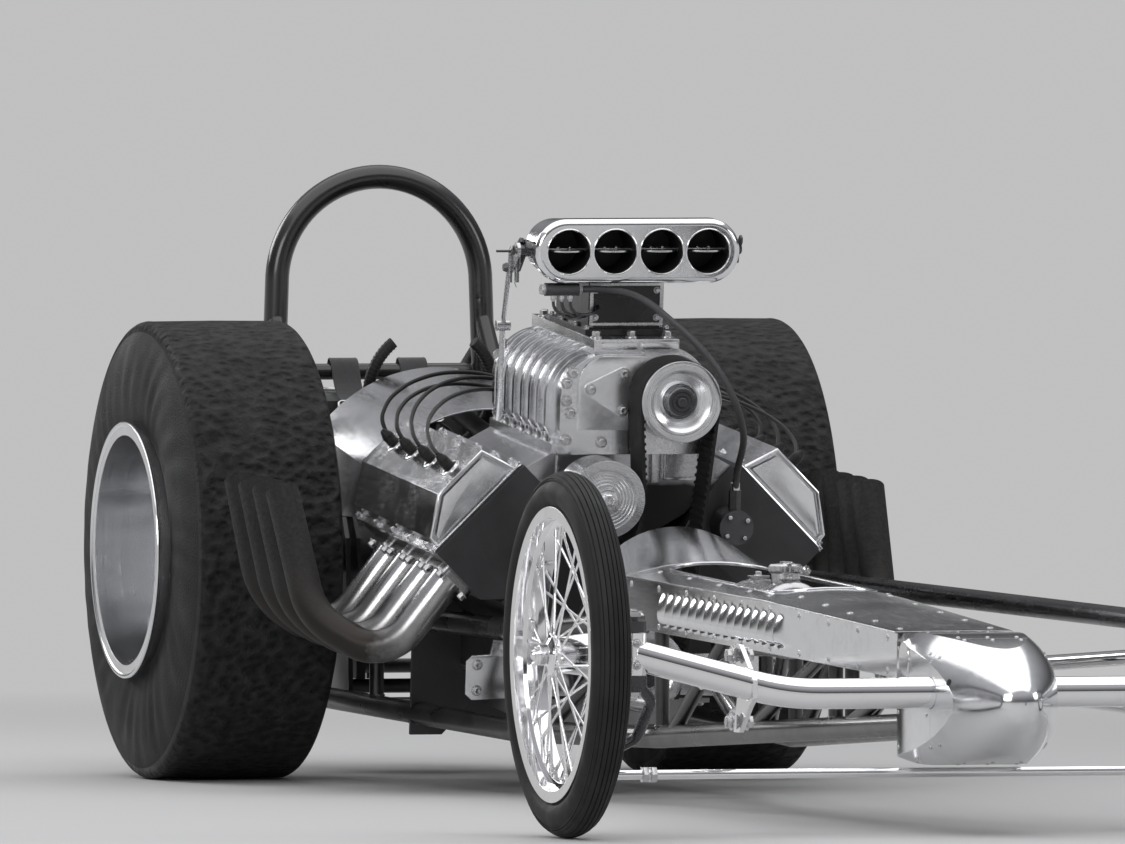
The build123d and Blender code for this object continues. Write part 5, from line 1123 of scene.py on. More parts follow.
        pipes = Stock()
        for v, end_v in ((-0.142, -0.066), (-0.127, -0.058), (-0.112, -0.050)):
            start = on_engine(-0.011, v, valve_w - 0.020)
            finish = on_engine(-0.0575, end_v, 0.598 + 0.3 * (v + 0.127))
            pipes.tube(bezier(
                start, start - ENGINE_UP * 0.04, finish + ENGINE_ALONG * 0.04 - ENGINE_UP * 0.006, finish, 14),
                0.0028, 10)
        pipes.object("nozzle_pipes", "dark_steel", "trim_steel")
        return {"FINISHED"}


def bezier(first, second, third, last, steps):
    """Points along a cubic curve from its two ends and two guides."""
    shares = [step / steps for step in range(steps + 1)]
    return [
        first * (1 - t)**3 + second * (3 * (1 - t)**2 * t) + third * (3 * (1 - t) * t * t) + last * t**3
        for t in shares]


class CAR_OT_cover_fittings(bpy.types.Operator):
    """Bolts, rims, plug rings and boots of the valve covers, and the magneto's fittings"""
    bl_idname = "car.cover_fittings"
    bl_label = "Cover Fittings"

    def execute(self, context):
        bolts, rings, boots = Stock(), Stock(), Stock()
        for side in (1, -1):
            up = bank_way(side, 0, 1)
            for u in (-0.03, -0.14, -0.25, -0.36, -0.47):
                for out in (-0.0985, 0.1038):
                    bolts.bolt(on_bank(side, u, out, 0.3812), up, 0.0095, 0.007)
            for bore in BORES:
                rings.lathe(on_bank(side, bore, PLUG_OUT, COVER_TOP), up, [
                    (-0.012, 0.0138), (0.0015, 0.0142), (0.0028, 0.0156), (0.0022, 0.0178), (0.0, 0.0186),
                    (-0.0004, 0.0155), (-0.012, 0.0148)], 40, closed=True)
                boots.lathe(on_bank(side, bore, PLUG_OUT, COVER_TOP + 0.014), up, [
                    (0.0, 0.0101), (0.006, 0.0106), (0.009, 0.0092), (0.015, 0.0066), (0.019, 0.0052),
                    (0.0195, 0.0038)], 20)
                for step in range(3):
                    boots.lathe(on_bank(side, bore, PLUG_OUT, COVER_TOP + 0.001 + 0.0045 * step), up, [
                        (0.0, 0.0099), (0.0011, 0.0109), (0.0022, 0.0099)], 20)
            # Rolled rim round the recessed front end
            ends = ((-0.103, 0.3765), (-0.090, 0.379), (-0.0705, 0.4395), (0.033, 0.4395), (0.0935, 0.3965),
                    (0.0955, 0.379), (0.107, 0.3765))
            rings.tube([on_bank(side, -0.0098, out, high) for out, high in ends], 0.0032, 8, closed=True)
            # Raised panel inside it
            inner = ((-0.079, 0.3855), (-0.0625, 0.4325), (0.0295, 0.4325), (0.084, 0.3935), (0.0855, 0.3855))
            rings.prism([on_bank(side, -0.0103, out, high) for out, high in inner], ENGINE_ALONG * 0.0036, 0.0014)
        bolts.object("cover_bolts", "fitting_steel", "trim_steel")
        rings.object("plug_rings", "engine_aluminium", "cover_polished")
        boots.object("plug_boots", "wire_rubber", "wire_black")

        # Magneto: tower sleeves, clip band, hold-down and vent
        towers, band = Stock(), Stock()
        for side in (1, -1):
            for angle, height in ((66, 0.402), (82, 0.420), (98, 0.402), (114, 0.420)):
                turn = radians(angle)
                outward = ENGINE_ALONG * cos(turn) + LEFT * (side * sin(turn))
                start = on_engine(MAGNETO_U, 0, height) + outward * (CAP_R - 0.002)
                towers.lathe(start, outward * 0.160 + ENGINE_UP * 0.060, [
                    (0.0, 0.0095), (0.004, 0.0082), (0.010, 0.0072), (0.016, 0.0058), (0.0165, 0.0038)], 18)
        towers.knob(on_engine(MAGNETO_U, 0, 0.450), ENGINE_UP, [
            (-0.0004, 0.034), (0.004, 0.033), (0.006, 0.028)], 40)
        towers.object("magneto_towers", "wire_rubber", "neck_dark")
        band.lathe(on_engine(MAGNETO_U, 0, 0.372), ENGINE_UP, [
            (0.0, CAP_R + 0.0003), (0.0, CAP_R + 0.0018), (0.010, CAP_R + 0.0018),
            (0.010, CAP_R + 0.0003)], 64, closed=True)
        for way in (-1, 1):
            band.bolt(on_engine(MAGNETO_U + (CAP_R + 0.0016) * way, 0, 0.377), ENGINE_ALONG * way, 0.009, 0.007)
        band.lathe(on_engine(MAGNETO_U, 0, 0.204), ENGINE_UP, [
            (0.0, 0.034), (0.0, 0.046), (0.008, 0.046), (0.010, 0.044), (0.010, 0.034)], 40, closed=True)
        for turn in (0.3, 2.4, 4.5):
            band.bolt(on_engine(MAGNETO_U + 0.040 * cos(turn), 0.040 * sin(turn), 0.214), ENGINE_UP, 0.009, 0.007)
        band.object("magneto_band", "fitting_steel", "trim_steel")
        return {"FINISHED"}


# Fittings of the wheels, the steering, the body and the frame


def surface(node, start, way, needed=True):
    """Where a ray first meets a CAD node, and which way the surface faces there."""
    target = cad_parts[node]
    back = target.matrix_world.inverted()
    start, way = Vector(start), Vector(way)
    hit, place, normal, _ = target.ray_cast(back @ start, (back.to_3x3() @ way).normalized())
    if not hit and not needed:
        return None
    if not hit:
        raise RuntimeError(f"no surface of {node} found from {tuple(round(v, 3) for v in start)}")
    return target.matrix_world @ place, (target.matrix_world.to_3x3() @ normal).normalized()


def hood_top(distance, y):
    """Where a drop from above meets the hood."""
    return surface("hood", spot(distance, y, 0.7), -UP)


# Distance, lower and upper edge of the body's side panels
PANEL_EDGES = ((1.34, 0.300, 0.376), (1.53, 0.299, 0.382), (2.3, 0.276, 0.360), (3.0, 0.252, 0.325))


def body_edges(distance):
    """Heights of the side panel's edges at a distance."""
    return along_line(PANEL_EDGES, distance)


def quarter_turn(stock, place, normal, radius):
    """Quarter-turn fastener: a shallow dished button with a slot bar."""
    stock.knob(place, normal, [
        (-0.0004, radius), (0.0009, radius * 0.94), (0.0015, radius * 0.7), (0.0009, radius * 0.5)], 18)
    _, first, second = frame_for(normal)
    long, wide = first * (radius * 0.46), second * 0.0006
    seat = place + normal * 0.0008
    stock.prism([seat - long - wide, seat + long - wide, seat + long + wide, seat - long + wide], normal * 0.0008)


class CAR_OT_front_wheel_fittings(bpy.types.Operator):
    """Spoke nipples, valve stems and hub nuts of the wire wheels"""
    bl_idname = "car.front_wheel_fittings"
    bl_label = "Front Wheel Fittings"

    def execute(self, context):
        for name, side in SIDES.items():
            centre = Vector(FRONT_CENTRES[name])
            out = Vector((0, side, 0))
            nipples = Stock()
            for flange_x, flange_r, start in ((0.025, 0.030, 0), (-0.054, 0.042, 9)):
                for count in range(20):
                    turn = radians(start + count * 18)
                    around = turn + radians(52) * (1 if count % 2 else -1) / 1.6
                    root = centre + out * flange_x + upright(side * turn) * flange_r
                    tip = centre + out * (0.003 if flange_x > 0 else -0.003) + upright(side * around) * 0.2135
                    way = (root - tip).normalized()
                    nipples.knob(tip, way, [
                        (-0.001, 0.0042), (0.004, 0.0042), (0.005, 0.0032), (0.0175, 0.003), (0.0185, 0.0021)], 12)
                    nipples.button(root - way * 0.003, out if flange_x > 0 else -out, 0.0036, 0.003, 10)
            # Locking nut and cap at the end of the hub
            nipples.knob(centre + out * 0.049, out, [(-0.0004, 0.0165), (0.004, 0.0165), (0.0048, 0.0155)], 6)
            nipples.knob(centre + out * 0.0535, out, [
                (-0.0008, 0.0095), (0.004, 0.0092), (0.0072, 0.0066), (0.0082, 0.003)])
            nipples.object(f"spoke_nipples_{name}", "chrome", "wire_wheel_chrome", f"front_wheel_{name}")
            stem = Stock()
            inward = -upright(radians(205))
            stem.knob(centre - inward * 0.2115, inward + out * 0.25, [
                (-0.002, 0.0062), (0.003, 0.0055), (0.006, 0.0036), (0.026, 0.0034), (0.026, 0.0042),
                (0.034, 0.0042), (0.035, 0.003)], 14)
            stem.object(f"front_valve_{name}", "fitting_steel", "wire_wheel_chrome", f"front_wheel_{name}")
        return {"FINISHED"}


class CAR_OT_rear_wheel_fittings(bpy.types.Operator):
    """Lug nuts, rim rolls and valve stems of the dished wheels"""
    bl_idname = "car.rear_wheel_fittings"
    bl_label = "Rear Wheel Fittings"

    def execute(self, context):
        for name, side in SIDES.items():
            centre = Vector(REAR_CENTRES[name])
            out = Vector((0, side, 0))
            lip = Stock()
            # Rolled outer edge and a step where the dish is set into the rim
            lip.lathe(centre + out * 0.156, out, [
                (-0.004, 0.2195), (0.0015, 0.2215), (0.0038, 0.2205), (0.0044, 0.2178), (0.0032, 0.2142),
                (0.0004, 0.2118), (-0.004, 0.2112)], 160, closed=True)
            lip.lathe(centre - out * 0.058, out, [
                (-0.004, 0.1925), (-0.0045, 0.186), (-0.0005, 0.1865), (0.0025, 0.1895), (0.003, 0.1952),
                (0.001, 0.196)], 128, closed=True)
            lip.object(f"rim_roll_{name}", f"dish_{name}", "dished_aluminium", f"rear_wheel_{name}")
            bolts = Stock()
            for turn in turns(5):
                arm = upright(turn + 0.3)
                bolts.bolt(centre - out * 0.0875 + arm * 0.080, out, 0.0225, 0.019)
            for turn in turns(12, 0.5):
                arm = upright(turn)
                bolts.bolt(centre - out * 0.0775 + arm * 0.148, out * 0.95 - arm * 0.28, 0.0115, 0.008)
            bolts.knob(centre - out * 0.0402, out, [
                (-0.001, 0.026), (0.004, 0.0255), (0.006, 0.022), (0.006, 0.012), (0.003, 0.010)], 32)
            arm = upright(radians(150))
            bolts.lathe(centre + out * 0.112 + arm * 0.1995, out * 0.8 - arm * 0.6, [
                (-0.003, 0), (-0.003, 0.0085), (0.003, 0.0075), (0.006, 0.0042), (0.030, 0.004), (0.030, 0.005),
                (0.040, 0.005), (0.041, 0)], 14)
            bolts.object(f"lug_nuts_{name}", "fitting_steel", "dished_aluminium", f"rear_wheel_{name}")
        return {"FINISHED"}


def castle_nut(stock, seat, axis, across, height):
    """Slotted nut with a stud end and a split pin through it."""
    axis, first, _ = frame_for(axis)
    flat = across / 2
    point = flat / cos(pi / 6)
    stock.knob(seat, axis, [
        (-0.0004, point), (height * 0.62, point), (height * 0.66, flat * 0.92), (height, flat * 0.9)], 6)
    stock.lathe(seat, axis, [
        (height - 0.0005, 0), (height - 0.0005, flat * 0.55), (height + 0.0025, flat * 0.55),
        (height + 0.0035, 0)], 14)
    cross = Vector(seat) + axis * (height * 0.84)
    stock.tube([cross - first * flat * 1.25, cross + first * flat * 1.35], 0.0009, 6)


def jam_nut(stock, seat, axis, point, height, edge=0.0008, chamfer=0.0007):
    """Thin nut round a rod, chamfered on both faces."""
    stock.knob(seat, axis, [
        (0, point - chamfer), (edge, point), (height - 0.001, point), (height, point - chamfer)], 6)


class CAR_OT_steering_fittings(bpy.types.Operator):
    """Nuts, dust boots and grease nipples of the steering joints"""
    bl_idname = "car.steering_fittings"
    bl_label = "Steering Fittings"

    def execute(self, context):
        for name, side in SIDES.items():
            nuts = Stock()
            pin = spot(3.2, side * 0.610, 0)
            castle_nut(nuts, pin + UP * 0.362, UP, 0.024, 0.010)
            castle_nut(nuts, pin + UP * 0.238, -UP, 0.024, 0.010)
            stud = spot(3.05, side * 0.610, 0)
            castle_nut(nuts, stud + UP * 0.149, UP, 0.019, 0.009)
            nuts.knob(stud + UP * 0.084, -UP, [
                (-0.003, 0.0095), (0.004, 0.0095), (0.0065, 0.0075), (0.0075, 0.003)], 18)
            nuts.tube([pin + Vector((0, side * y, 0.3)) for y in (0.041, 0.045)], 0.012, 16)
            if side > 0:
                castle_nut(nuts, spot(3.2, 0.510, 0.351), UP, 0.019, 0.009)
            nuts.object(f"steering_nuts_{name}", "fitting_steel", "link_steel", f"knuckle_{name}")
            boot = Stock()
            boot.lathe(stud + UP * 0.109, UP, [
                (0.0, 0.0062), (0.0, 0.0122), (0.003, 0.0128), (0.0052, 0.0112), (0.0072, 0.0122), (0.0092, 0.0104),
                (0.0112, 0.0112), (0.0132, 0.0098), (0.0132, 0.0062)], 28, closed=True)
            boot.object(f"dust_boot_{name}", "grip_rubber", "grip_black", f"knuckle_{name}")
        link = Stock()
        for side in (1, -1):
            for start in (0.552, 0.538):
                jam_nut(link, spot(3.05, side * start, 0.098), (0, -side, 0), 0.0142, 0.010)
            link.button(spot(3.05 + 0.0135, side * 0.610, 0.098), (1, 0, 0), 0.004, 0.006, 10)
        link.object("tie_rod_nuts", "fitting_steel", "link_steel", "tie_rod")
        drag = Stock()
        rear, front = spot(0.45, 0.410, 0.357), spot(3.2, 0.510, 0.320)
        way = (front - rear).normalized()
        for end, inward in ((rear, way), (front, -way)):
            jam_nut(drag, end + inward * 0.066, inward, 0.0162, 0.012)
        drag.object("drag_link_nuts", "fitting_steel", "link_steel", "drag_link")
        arm = Stock()
        castle_nut(arm, spot(0.45, 0.3832, 0.357), (0, -1, 0), 0.021, 0.010)
        castle_nut(arm, spot(0.45, 0.3928, 0.537), (0, 1, 0), 0.028, 0.009)
        arm.object("pitman_nuts", "fitting_steel", "link_steel", "pitman_arm")

        # Radius rods: clevis bolts, jam nuts and rod-end bolts through the axle plates
        rods = Stock()
        for side in (1, -1):
            # Pinch bolts in the axle's kingpin bosses
            for height in (0.282, 0.319):
                rods.bolt(spot(3.2215, side * 0.610, height), (1, 0, 0), 0.010, 0.006)
            rear = spot(2.085, side * 0.158, 0.232)
            for way_y in (1, -1):
                rods.bolt(rear + LEFT * (way_y * 0.014), (0, way_y, 0), 0.021, 0.009)
            for height in (0.296, 0.186):
                tip = spot(3.135, side * 0.410, height)
                way = (rear - tip).normalized()
                for along in (0.050, 0.066):
                    jam_nut(rods, tip + way * along, way, 0.0195, 0.012, 0.001, 0.001)
                for way_y in (1, -1):
                    rods.bolt(tip + LEFT * (way_y * 0.0125), (0, way_y, 0), 0.019, 0.009)
        rods.object("front_axle_bolts", "fitting_steel", "axle_chrome")
        return {"FINISHED"}


class CAR_OT_body_fasteners(bpy.types.Operator):
    """Fasteners of the body, a black disc of painted shade for its tow hole, roll of the hood opening and the fuel
    tank's fittings
    """
    bl_idname = "car.body_fasteners"
    bl_label = "Body Fasteners"

    def execute(self, context):
        buttons, seams = Stock(), Stock()
        for side in (1, -1):
            for count in range(11):
                distance = 1.40 + count * 0.155
                low, top = body_edges(distance)
                for height in (top - 0.0095, low + 0.0095):
                    # The panels are cut away where the rails cross them
                    hit = surface("side_panels", spot(distance, side * 0.6, height), (0, -side, 0), needed=False)
                    if hit:
                        quarter_turn(buttons, *hit, 0.0058)
            for count in range(5):
                quarter_turn(buttons, *hood_top(2.36 + count * 0.145, side * 0.078), 0.0058)
            for distance in (1.60, 1.78, 1.96, 2.14, 2.26):
                quarter_turn(buttons, *hood_top(distance, side * 0.1035), 0.005)
        for distance, node in ((3.184, "nose_collar"), (3.215, "nose_cone"), (3.014, "nose_collar")):
            for turn in turns(14, 0.5):
                arm = Vector((0, cos(turn), sin(turn)))
                # The axle leaves the nose here
                if node == "nose_cone" and abs(arm.y) > 0.93:
                    continue
                place, normal = surface(node, spot(distance, 0, 0.2195) + arm * 0.6, -arm)
                buttons.button(place, normal, 0.0036, 0.0018)
        # Tow hole that shows on the nose
        hole_shade = Stock()
        # Painted shade: a flat black disc stands for the dark inside of the hole
        place, normal = surface("nose_cone", spot(3.27, -0.6, 0.252), (0, 1, 0))
        hole_shade.knob(place, normal, [(-0.0004, 0.0058), (0.0003, 0.0058)])
        hole_shade.object("nose_hole_shade", "painted_shade_black", "trim_steel")
        buttons.object("body_fasteners", "fitting_steel", "trim_steel")

        # Rolled edge round the hood opening
        back, front, half, corner = 1.562, 2.290, 0.088, 0.070
        path = []
        for mid_x, mid_y, start in (
                (front - corner, half - corner, 0), (back + corner, half - corner, 90),
                (back + corner, -half + corner, 180), (front - corner, -half + corner, 270)):
            for turn in [radians(start + step * 11.25) for step in range(9)]:
                path.append((mid_x + (corner + 0.002) * cos(turn), mid_y + (corner + 0.002) * sin(turn)))
        fine = []
        for (ax, ay), (bx, by) in neighbours(path, True):
            parts = max(1, int(hypot(bx - ax, by - ay) / 0.05))
            fine += [(ax + (bx - ax) * s / parts, ay + (by - ay) * s / parts) for s in range(parts)]
        seams.tube([hood_top(x, y)[0] + UP * 0.0004 for x, y in fine], 0.0028, closed=True)
        seams.object("opening_roll", "body_aluminium", "body_aluminium")

        # Fuel tank: knurled cap with a lever, and straps
        tank = Stock()
        cap = spot(2.0, 0, 0.400)
        tank.knob(cap, UP, [(-0.0004, 0.026), (0.003, 0.0275), (0.012, 0.0275), (0.015, 0.025), (0.016, 0.012)], 40)
        for turn in turns(20):
            rib = cap + Vector((cos(turn), sin(turn), 0)) * 0.0272
            tank.tube([rib + UP * 0.003, rib + UP * 0.012], 0.0014, 6)
        tank.prism([cap + Vector((x, y, 0.0155)) for x, y in (
            (-0.018, -0.005), (0.034, -0.004), (0.038, 0), (0.034, 0.004), (-0.018, 0.005))], UP * 0.004, 0.001)
        for distance in (1.838, 2.022):
            tank.lathe(spot(distance - 0.011, 0, 0.322), (1, 0, 0), [
                (0, 0.0638), (0, 0.0655), (0.022, 0.0655), (0.022, 0.0638)], 96, closed=True)
            seat = spot(distance, 0, 0.3872)
            tank.block(seat, 0.013, 0.016, 0.005, 0.001)
            tank.bolt(seat + UP * 0.005, UP, 0.009, 0.006)
        tank.object("tank_fittings", "fitting_steel", "tank_aluminium")
        return {"FINISHED"}


def along_line(line, distance):
    """Measures of a line given by its corners at a distance, each corner starting with its own."""
    for here, there in zip(line, line[1:]):
        if distance <= there[0]:
            break
    share = (distance - here[0]) / (there[0] - here[0])
    return [a + share * (b - a) for a, b in zip(here[1:], there[1:])]


def rail_spot(rail, distance, side):
    """Middle of a frame rail at a distance."""
    y, z = along_line(rail, distance)
    return spot(distance, side * y, z)


UPPER_RAIL = (
    (-0.64, 0.195, 0.3), (-0.2, 0.225, 0.29), (1.13, 0.215, 0.284), (1.64, 0.118, 0.316), (3.14, 0.05, 0.258))
LOWER_RAIL = (
    (-0.64, 0.195, 0.18), (-0.2, 0.225, 0.14), (1.13, 0.215, 0.112), (1.64, 0.118, 0.116), (3.14, 0.05, 0.182))


class CAR_OT_louvred_panels(bpy.types.Operator):
    """Side panels with crescent louvres in place of the plain ones"""
    bl_idname = "car.louvred_panels"
    bl_label = "Louvred Panels"

    def execute(self, context):
        halves = ((1.34, 0.146), (1.53, 0.141), (2.3, 0.124), (3.0, 0.1005))
        first, pitch, length, deep, count = 1.735, 0.043, 0.031, 0.0115, 16
        margin = 0.015
        columns = [1.34, 1.43, 1.53, 1.60, 1.67]
        for place in range(count):
            front = first + place * pitch
            columns += [front - 0.0006, front + 0.0006]
            columns += [front + length * step / 7 for step in range(1, 8)]
        columns += [2.46, 2.6, 2.75, 2.9, 3.0]
        levels = 23
        panels, louvre_shade = Stock(), Stock()
        for side in (1, -1):
            sheets = [[], []]
            for distance in columns:
                half, = along_line(halves, distance)
                low, top = body_edges(distance)
                after = (distance - first) % pitch
                inside = first - 0.0001 < distance < first + count * pitch and after <= length
                ramp = (1 - after / length) ** 0.8 if inside else 0.0
                for sheet, inset in zip(sheets, (0.0, 0.0018)):
                    row = []
                    for level in range(levels):
                        height = low + (top - low) * (level / (levels - 1))
                        share = (height - low - margin) / (top - low - 2 * margin)
                        rise = deep * ramp * sin(pi * share ** 0.62) ** 0.7 if 0 < share < 1 else 0.0
                        row.append(panels.bm.verts.new(spot(distance, side * (half + rise - inset), height)))
                    sheet.append(row)
            outer, inner = sheets
            for rows in sheets:
                for low_row, high_row in zip(rows, rows[1:]):
                    for (a, b), (c, d) in zip(neighbours(low_row, False), neighbours(high_row, False)):
                        panels.bm.faces.new((a, c, d, b))
            # Rim between the two sheets
            rim = [(place, 0) for place in range(len(columns) - 1)]
            rim += [(len(columns) - 1, level) for level in range(levels - 1)]
            rim += [(place, levels - 1) for place in range(len(columns) - 1, 0, -1)]
            rim += [(0, level) for level in range(levels - 1, 0, -1)]
            for (p, q), (r, s) in neighbours(rim, True):
                panels.bm.faces.new((outer[p][q], outer[r][s], inner[r][s], inner[p][q]))
            # Painted shade: a thin black strip in the mouth at the back of each louvre, longest near its foot, and a
            # small dark drop of painted shadow under the foot
            for place in range(count):
                distance = first + place * pitch
                half = 0.141 + (distance - 1.53) / 0.77 * (0.124 - 0.141)
                low, top = body_edges(distance)
                x = distance - 0.0009
                points = []
                for share in [step / 15 for step in range(1, 15)]:
                    rise = deep * sin(pi * share ** 0.62) ** 0.7
                    height = low + margin + (top - low - 2 * margin) * share
                    points.append(spot(x, side * (half + rise * 0.9), height))
                foot = [spot(x, side * (half - 0.0004), p.z) for p in reversed(points)]
                louvre_shade.prism(points + foot, (0.0002, 0, 0))
                foot_shadow = spot(distance + 0.004, side * (half + 0.002), low + 0.0145)
                louvre_shade.tube([foot_shadow, foot_shadow + Vector((0.014, 0, -0.0006))], 0.0023, 8, taper=(1.0, 0.35))
        plain = panels.object("louvred_panels", "body_aluminium", "body_aluminium")
        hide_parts("side_panels")
        louvre_shade.object("louvre_shade_strips", "painted_shade_black", "trim_steel")
        return {"FINISHED"}


class CAR_OT_frame_fittings(bpy.types.Operator):
    """Weld beads of the frame, engine plates, and bolts of the engine and the driveline"""
    bl_idname = "car.frame_fittings"
    bl_label = "Frame Fittings"

    def execute(self, context):
        beads = Stock()
        for side in (1, -1):
            for place in (-0.62, 0.25, 1.17, 1.66, 2.06, 2.56, 3.01):
                top, low = rail_spot(UPPER_RAIL, place, side), rail_spot(LOWER_RAIL, place, side)
                way = (top - low).normalized()
                _, first, second = frame_for(way)
                for middle in (top - way * 0.0185, low + way * 0.0185):
                    # Every second corner stands out a little, as ripples in the bead
                    beads.tube([
                        middle + (first * cos(turn) + second * sin(turn)) * (0.0118 + 0.0005 * (step % 2))
                        for step, turn in enumerate(turns(28))], 0.0024, 6, closed=True)
        beads.object("weld_beads", "frame_black", "frame_black")

        # Plates that carry the engine's front on the frame rails
        bolts, plates = Stock(), Stock()
        outline = ((0.070, -0.055), (0.272, -0.062), (0.283, -0.052), (0.283, 0.004), (0.272, 0.014), (0.240, 0.014),
                   (0.236, 0.040), (0.196, 0.040), (0.190, 0.014), (0.070, 0.014))
        for side in (1, -1):
            plates.engine_plate(-0.0003, [(side * v, w) for v, w in outline], 0.0063, 0.001)
            for v, w in ((0.264, -0.046), (0.264, -0.002), (0.216, 0.026), (0.168, -0.040)):
                bolts.bolt(on_engine(0.0059, side * v, w), ENGINE_ALONG, 0.0125, 0.008)
        plates.object("engine_plates", "engine_aluminium", "trim_steel")

        # Header flanges with four bolts at each port, oil pan rail and drain plug
        for side in (1, -1):
            for bore in BORES:
                for u, up in ((-0.041, -0.027), (-0.041, 0.027), (0.041, -0.027), (0.041, 0.027)):
                    seat = on_bank(side, bore + u, FLANGE_OUT, EXHAUST_UP + up)
                    bolts.bolt(seat, bank_way(side, 1, 0), 0.0125, 0.009)
            for count in range(9):
                start = on_engine(-0.03 - 0.055 * count, side * 0.142, -0.4)
                bolts.bolt(*surface("oil_pan", start, ENGINE_UP), 0.0105, 0.007)
        bolts.bolt(*surface("oil_pan", on_engine(-0.42, 0.0, -0.5), ENGINE_UP), 0.022, 0.010)
        # Bell of the clutch can, shot through its rim into the motor plate
        for turn in turns(16, 0.5):
            arm = LEFT * cos(turn) + ENGINE_UP * sin(turn)
            place, normal = surface("clutch_can", on_engine(-0.53, 0, 0) + arm * 0.6, -arm)
            bolts.bolt(place, arm, 0.014, 0.009)
        # Third member and its cover
        centre = spot(0, 0, REAR_TYRE_R)
        for side in (1, -1):
            for turn in turns(10, 0.5):
                start = centre + Vector((cos(turn), 0, sin(turn))) * 0.112 + LEFT * (side * 0.24)
                place, normal = surface("rear_axle_housing", start, LEFT * -side)
                bolts.bolt(place, normal, 0.0145, 0.010)
        bolts.object("driveline_bolts", "fitting_steel", "trim_steel")
        return {"FINISHED"}


class CAR_OT_cockpit_fittings(bpy.types.Operator):
    """Grip wrap and hub cap of the steering wheel, and the brake lever's grip"""
    bl_idname = "car.cockpit_fittings"
    bl_label = "Cockpit Fittings"

    def execute(self, context):
        slope = radians(11)
        axis = Vector((-cos(slope), 0, sin(slope)))
        second = axis.cross(LEFT)
        centre = spot(-0.1938, 0, 0.6634)
        wrap = Stock()
        points = []
        winds, steps = 74, 9
        for step in range(winds * steps + 1):
            share = step / (winds * steps)
            around = radians(-48 + 276 * share)
            wind = tau * winds * share
            arm = LEFT * cos(around) + second * sin(around)
            points.append(centre + arm * (0.112 + 0.0103 * cos(wind)) + axis * (0.0103 * sin(wind)))
        wrap.tube(points, 0.0012, 5)
        wrap.object("grip_wrap", "grip_rubber", "grip_black", "steering_wheel")
        hub = Stock()
        hub.knob(centre + axis * 0.006, axis, [(-0.0004, 0.022), (0.003, 0.021), (0.004, 0.017)], 36)
        for turn in turns(3):
            arm = LEFT * cos(turn + 0.5) + second * sin(turn + 0.5)
            hub.button(centre + axis * 0.0098 + arm * 0.013, axis, 0.003, 0.0022, 10)
        hub.object("wheel_hub_cap", "fitting_steel", "link_steel", "steering_wheel")
        # Ribbed rubber grip on the brake lever
        grip = Stock()
        foot, tip = spot(-0.2405, -0.262, 0.624), spot(-0.262, -0.262, 0.742)
        way = (tip - foot).normalized()
        for count in range(9):
            grip.lathe(foot + way * (0.004 + count * 0.0125), way, [
                (0.0, 0.0139), (0.0016, 0.0156), (0.0062, 0.0156), (0.0078, 0.0139)])
        grip.knob(tip - way * 0.001, way, [(0.0, 0.0139), (0.003, 0.0125), (0.005, 0.007)])
        grip.object("lever_grip", "grip_rubber", "grip_black")
        return {"FINISHED"}


# Soft goods


def soft_box(name, centre, turn, size, round_off, voxel):
    """A rounded closed box of even cells, the start of a stuffed piece."""
    stock = bmesh.new()
    bmesh.ops.create_cube(stock, size=1.0)
    bmesh.ops.scale(stock, vec=size, verts=stock.verts)
    bmesh.ops.bevel(
        stock, geom=list(stock.edges), offset=round_off, segments=4, affect="EDGES", profile=0.5, clamp_overlap=True)
    stock.transform(Matrix.Translation(Vector(centre)) @ turn)
    piece = linked(name, stock)
    remesh = piece.modifiers.new("cells", "REMESH")
    remesh.mode = "VOXEL"
    remesh.voxel_size = voxel
    bake(piece)
    return piece


def bake(piece):
    """Apply every modifier of a piece to its mesh."""
    found = piece.evaluated_get(bpy.context.evaluated_depsgraph_get())
    mesh = bpy.data.meshes.new_from_object(found)
    old = piece.data
    piece.modifiers.clear()
    piece.data = mesh
    bpy.data.meshes.remove(old)
    mesh.name = piece.name


def puff(piece, cap, pressure=4.0):
    """Blow a closed piece up as cloth, never further than the cap, and smooth it."""
    rest = [vert.co.copy() for vert in piece.data.vertices]
    scene = bpy.context.scene
    cloth = piece.modifiers.new("stuffing", "CLOTH")
    cloth.settings.quality = 5
    cloth.settings.mass = 0.3
    cloth.settings.use_pressure = True
    cloth.settings.uniform_pressure_force = pressure
    cloth.settings.effector_weights.gravity = 0
    for step in range(1, 21):
        scene.frame_set(step)
    bake(piece)
    scene.frame_set(1)
    for vert, start in zip(piece.data.vertices, rest):
        moved = vert.co - start
        if moved.length > cap:
            vert.co = start + moved * (cap / moved.length)
    smooth = piece.modifiers.new("finer", "SUBSURF")
    smooth.levels = 1
    smooth.render_levels = 1
    bake(piece)


def sew(piece, lines, across, facing, width, depth):
    """Press sewn channels into the side of a piece that faces one way."""
    across, facing = Vector(across), Vector(facing).normalized()
    for vert in piece.data.vertices:
        lean = vert.normal.dot(facing)
        if lean < 0.2:
            continue
        place = vert.co.dot(across)
        press = sum(exp(-((place - line) / width) ** 2) for line in lines)
        vert.co -= facing * (depth * press * min(1.0, lean * 1.4))


def skin_tree(piece):
    """Search tree of a finished piece, for what lies on it."""
    stock = bmesh.new()
    stock.from_mesh(piece.data)
    tree = BVHTree.FromBMesh(stock)
    stock.free()
    return tree


# Half section of webbing with rolled edges, as shares of its width and thickness
WEBBING = ((-0.5, -0.1), (-0.5, 0.5), (-0.46, 0.95), (-0.42, 0.75), (0.42, 0.75), (0.46, 0.95), (0.5, 0.5), (0.5, -0.1))


def strap(stock, points, faces, sides, width, thick, closed=False):
    """Flat webbing along points, each with the way it faces and its sideways direction."""
    rows = []
    for point, face, side in zip(points, faces, sides):
        face, side = Vector(face).normalized(), Vector(side).normalized()
        rows.append([
            stock.bm.verts.new(Vector(point) + side * (a * width) + face * (b * thick)) for a, b in WEBBING])
    stock.skin(rows, closed)


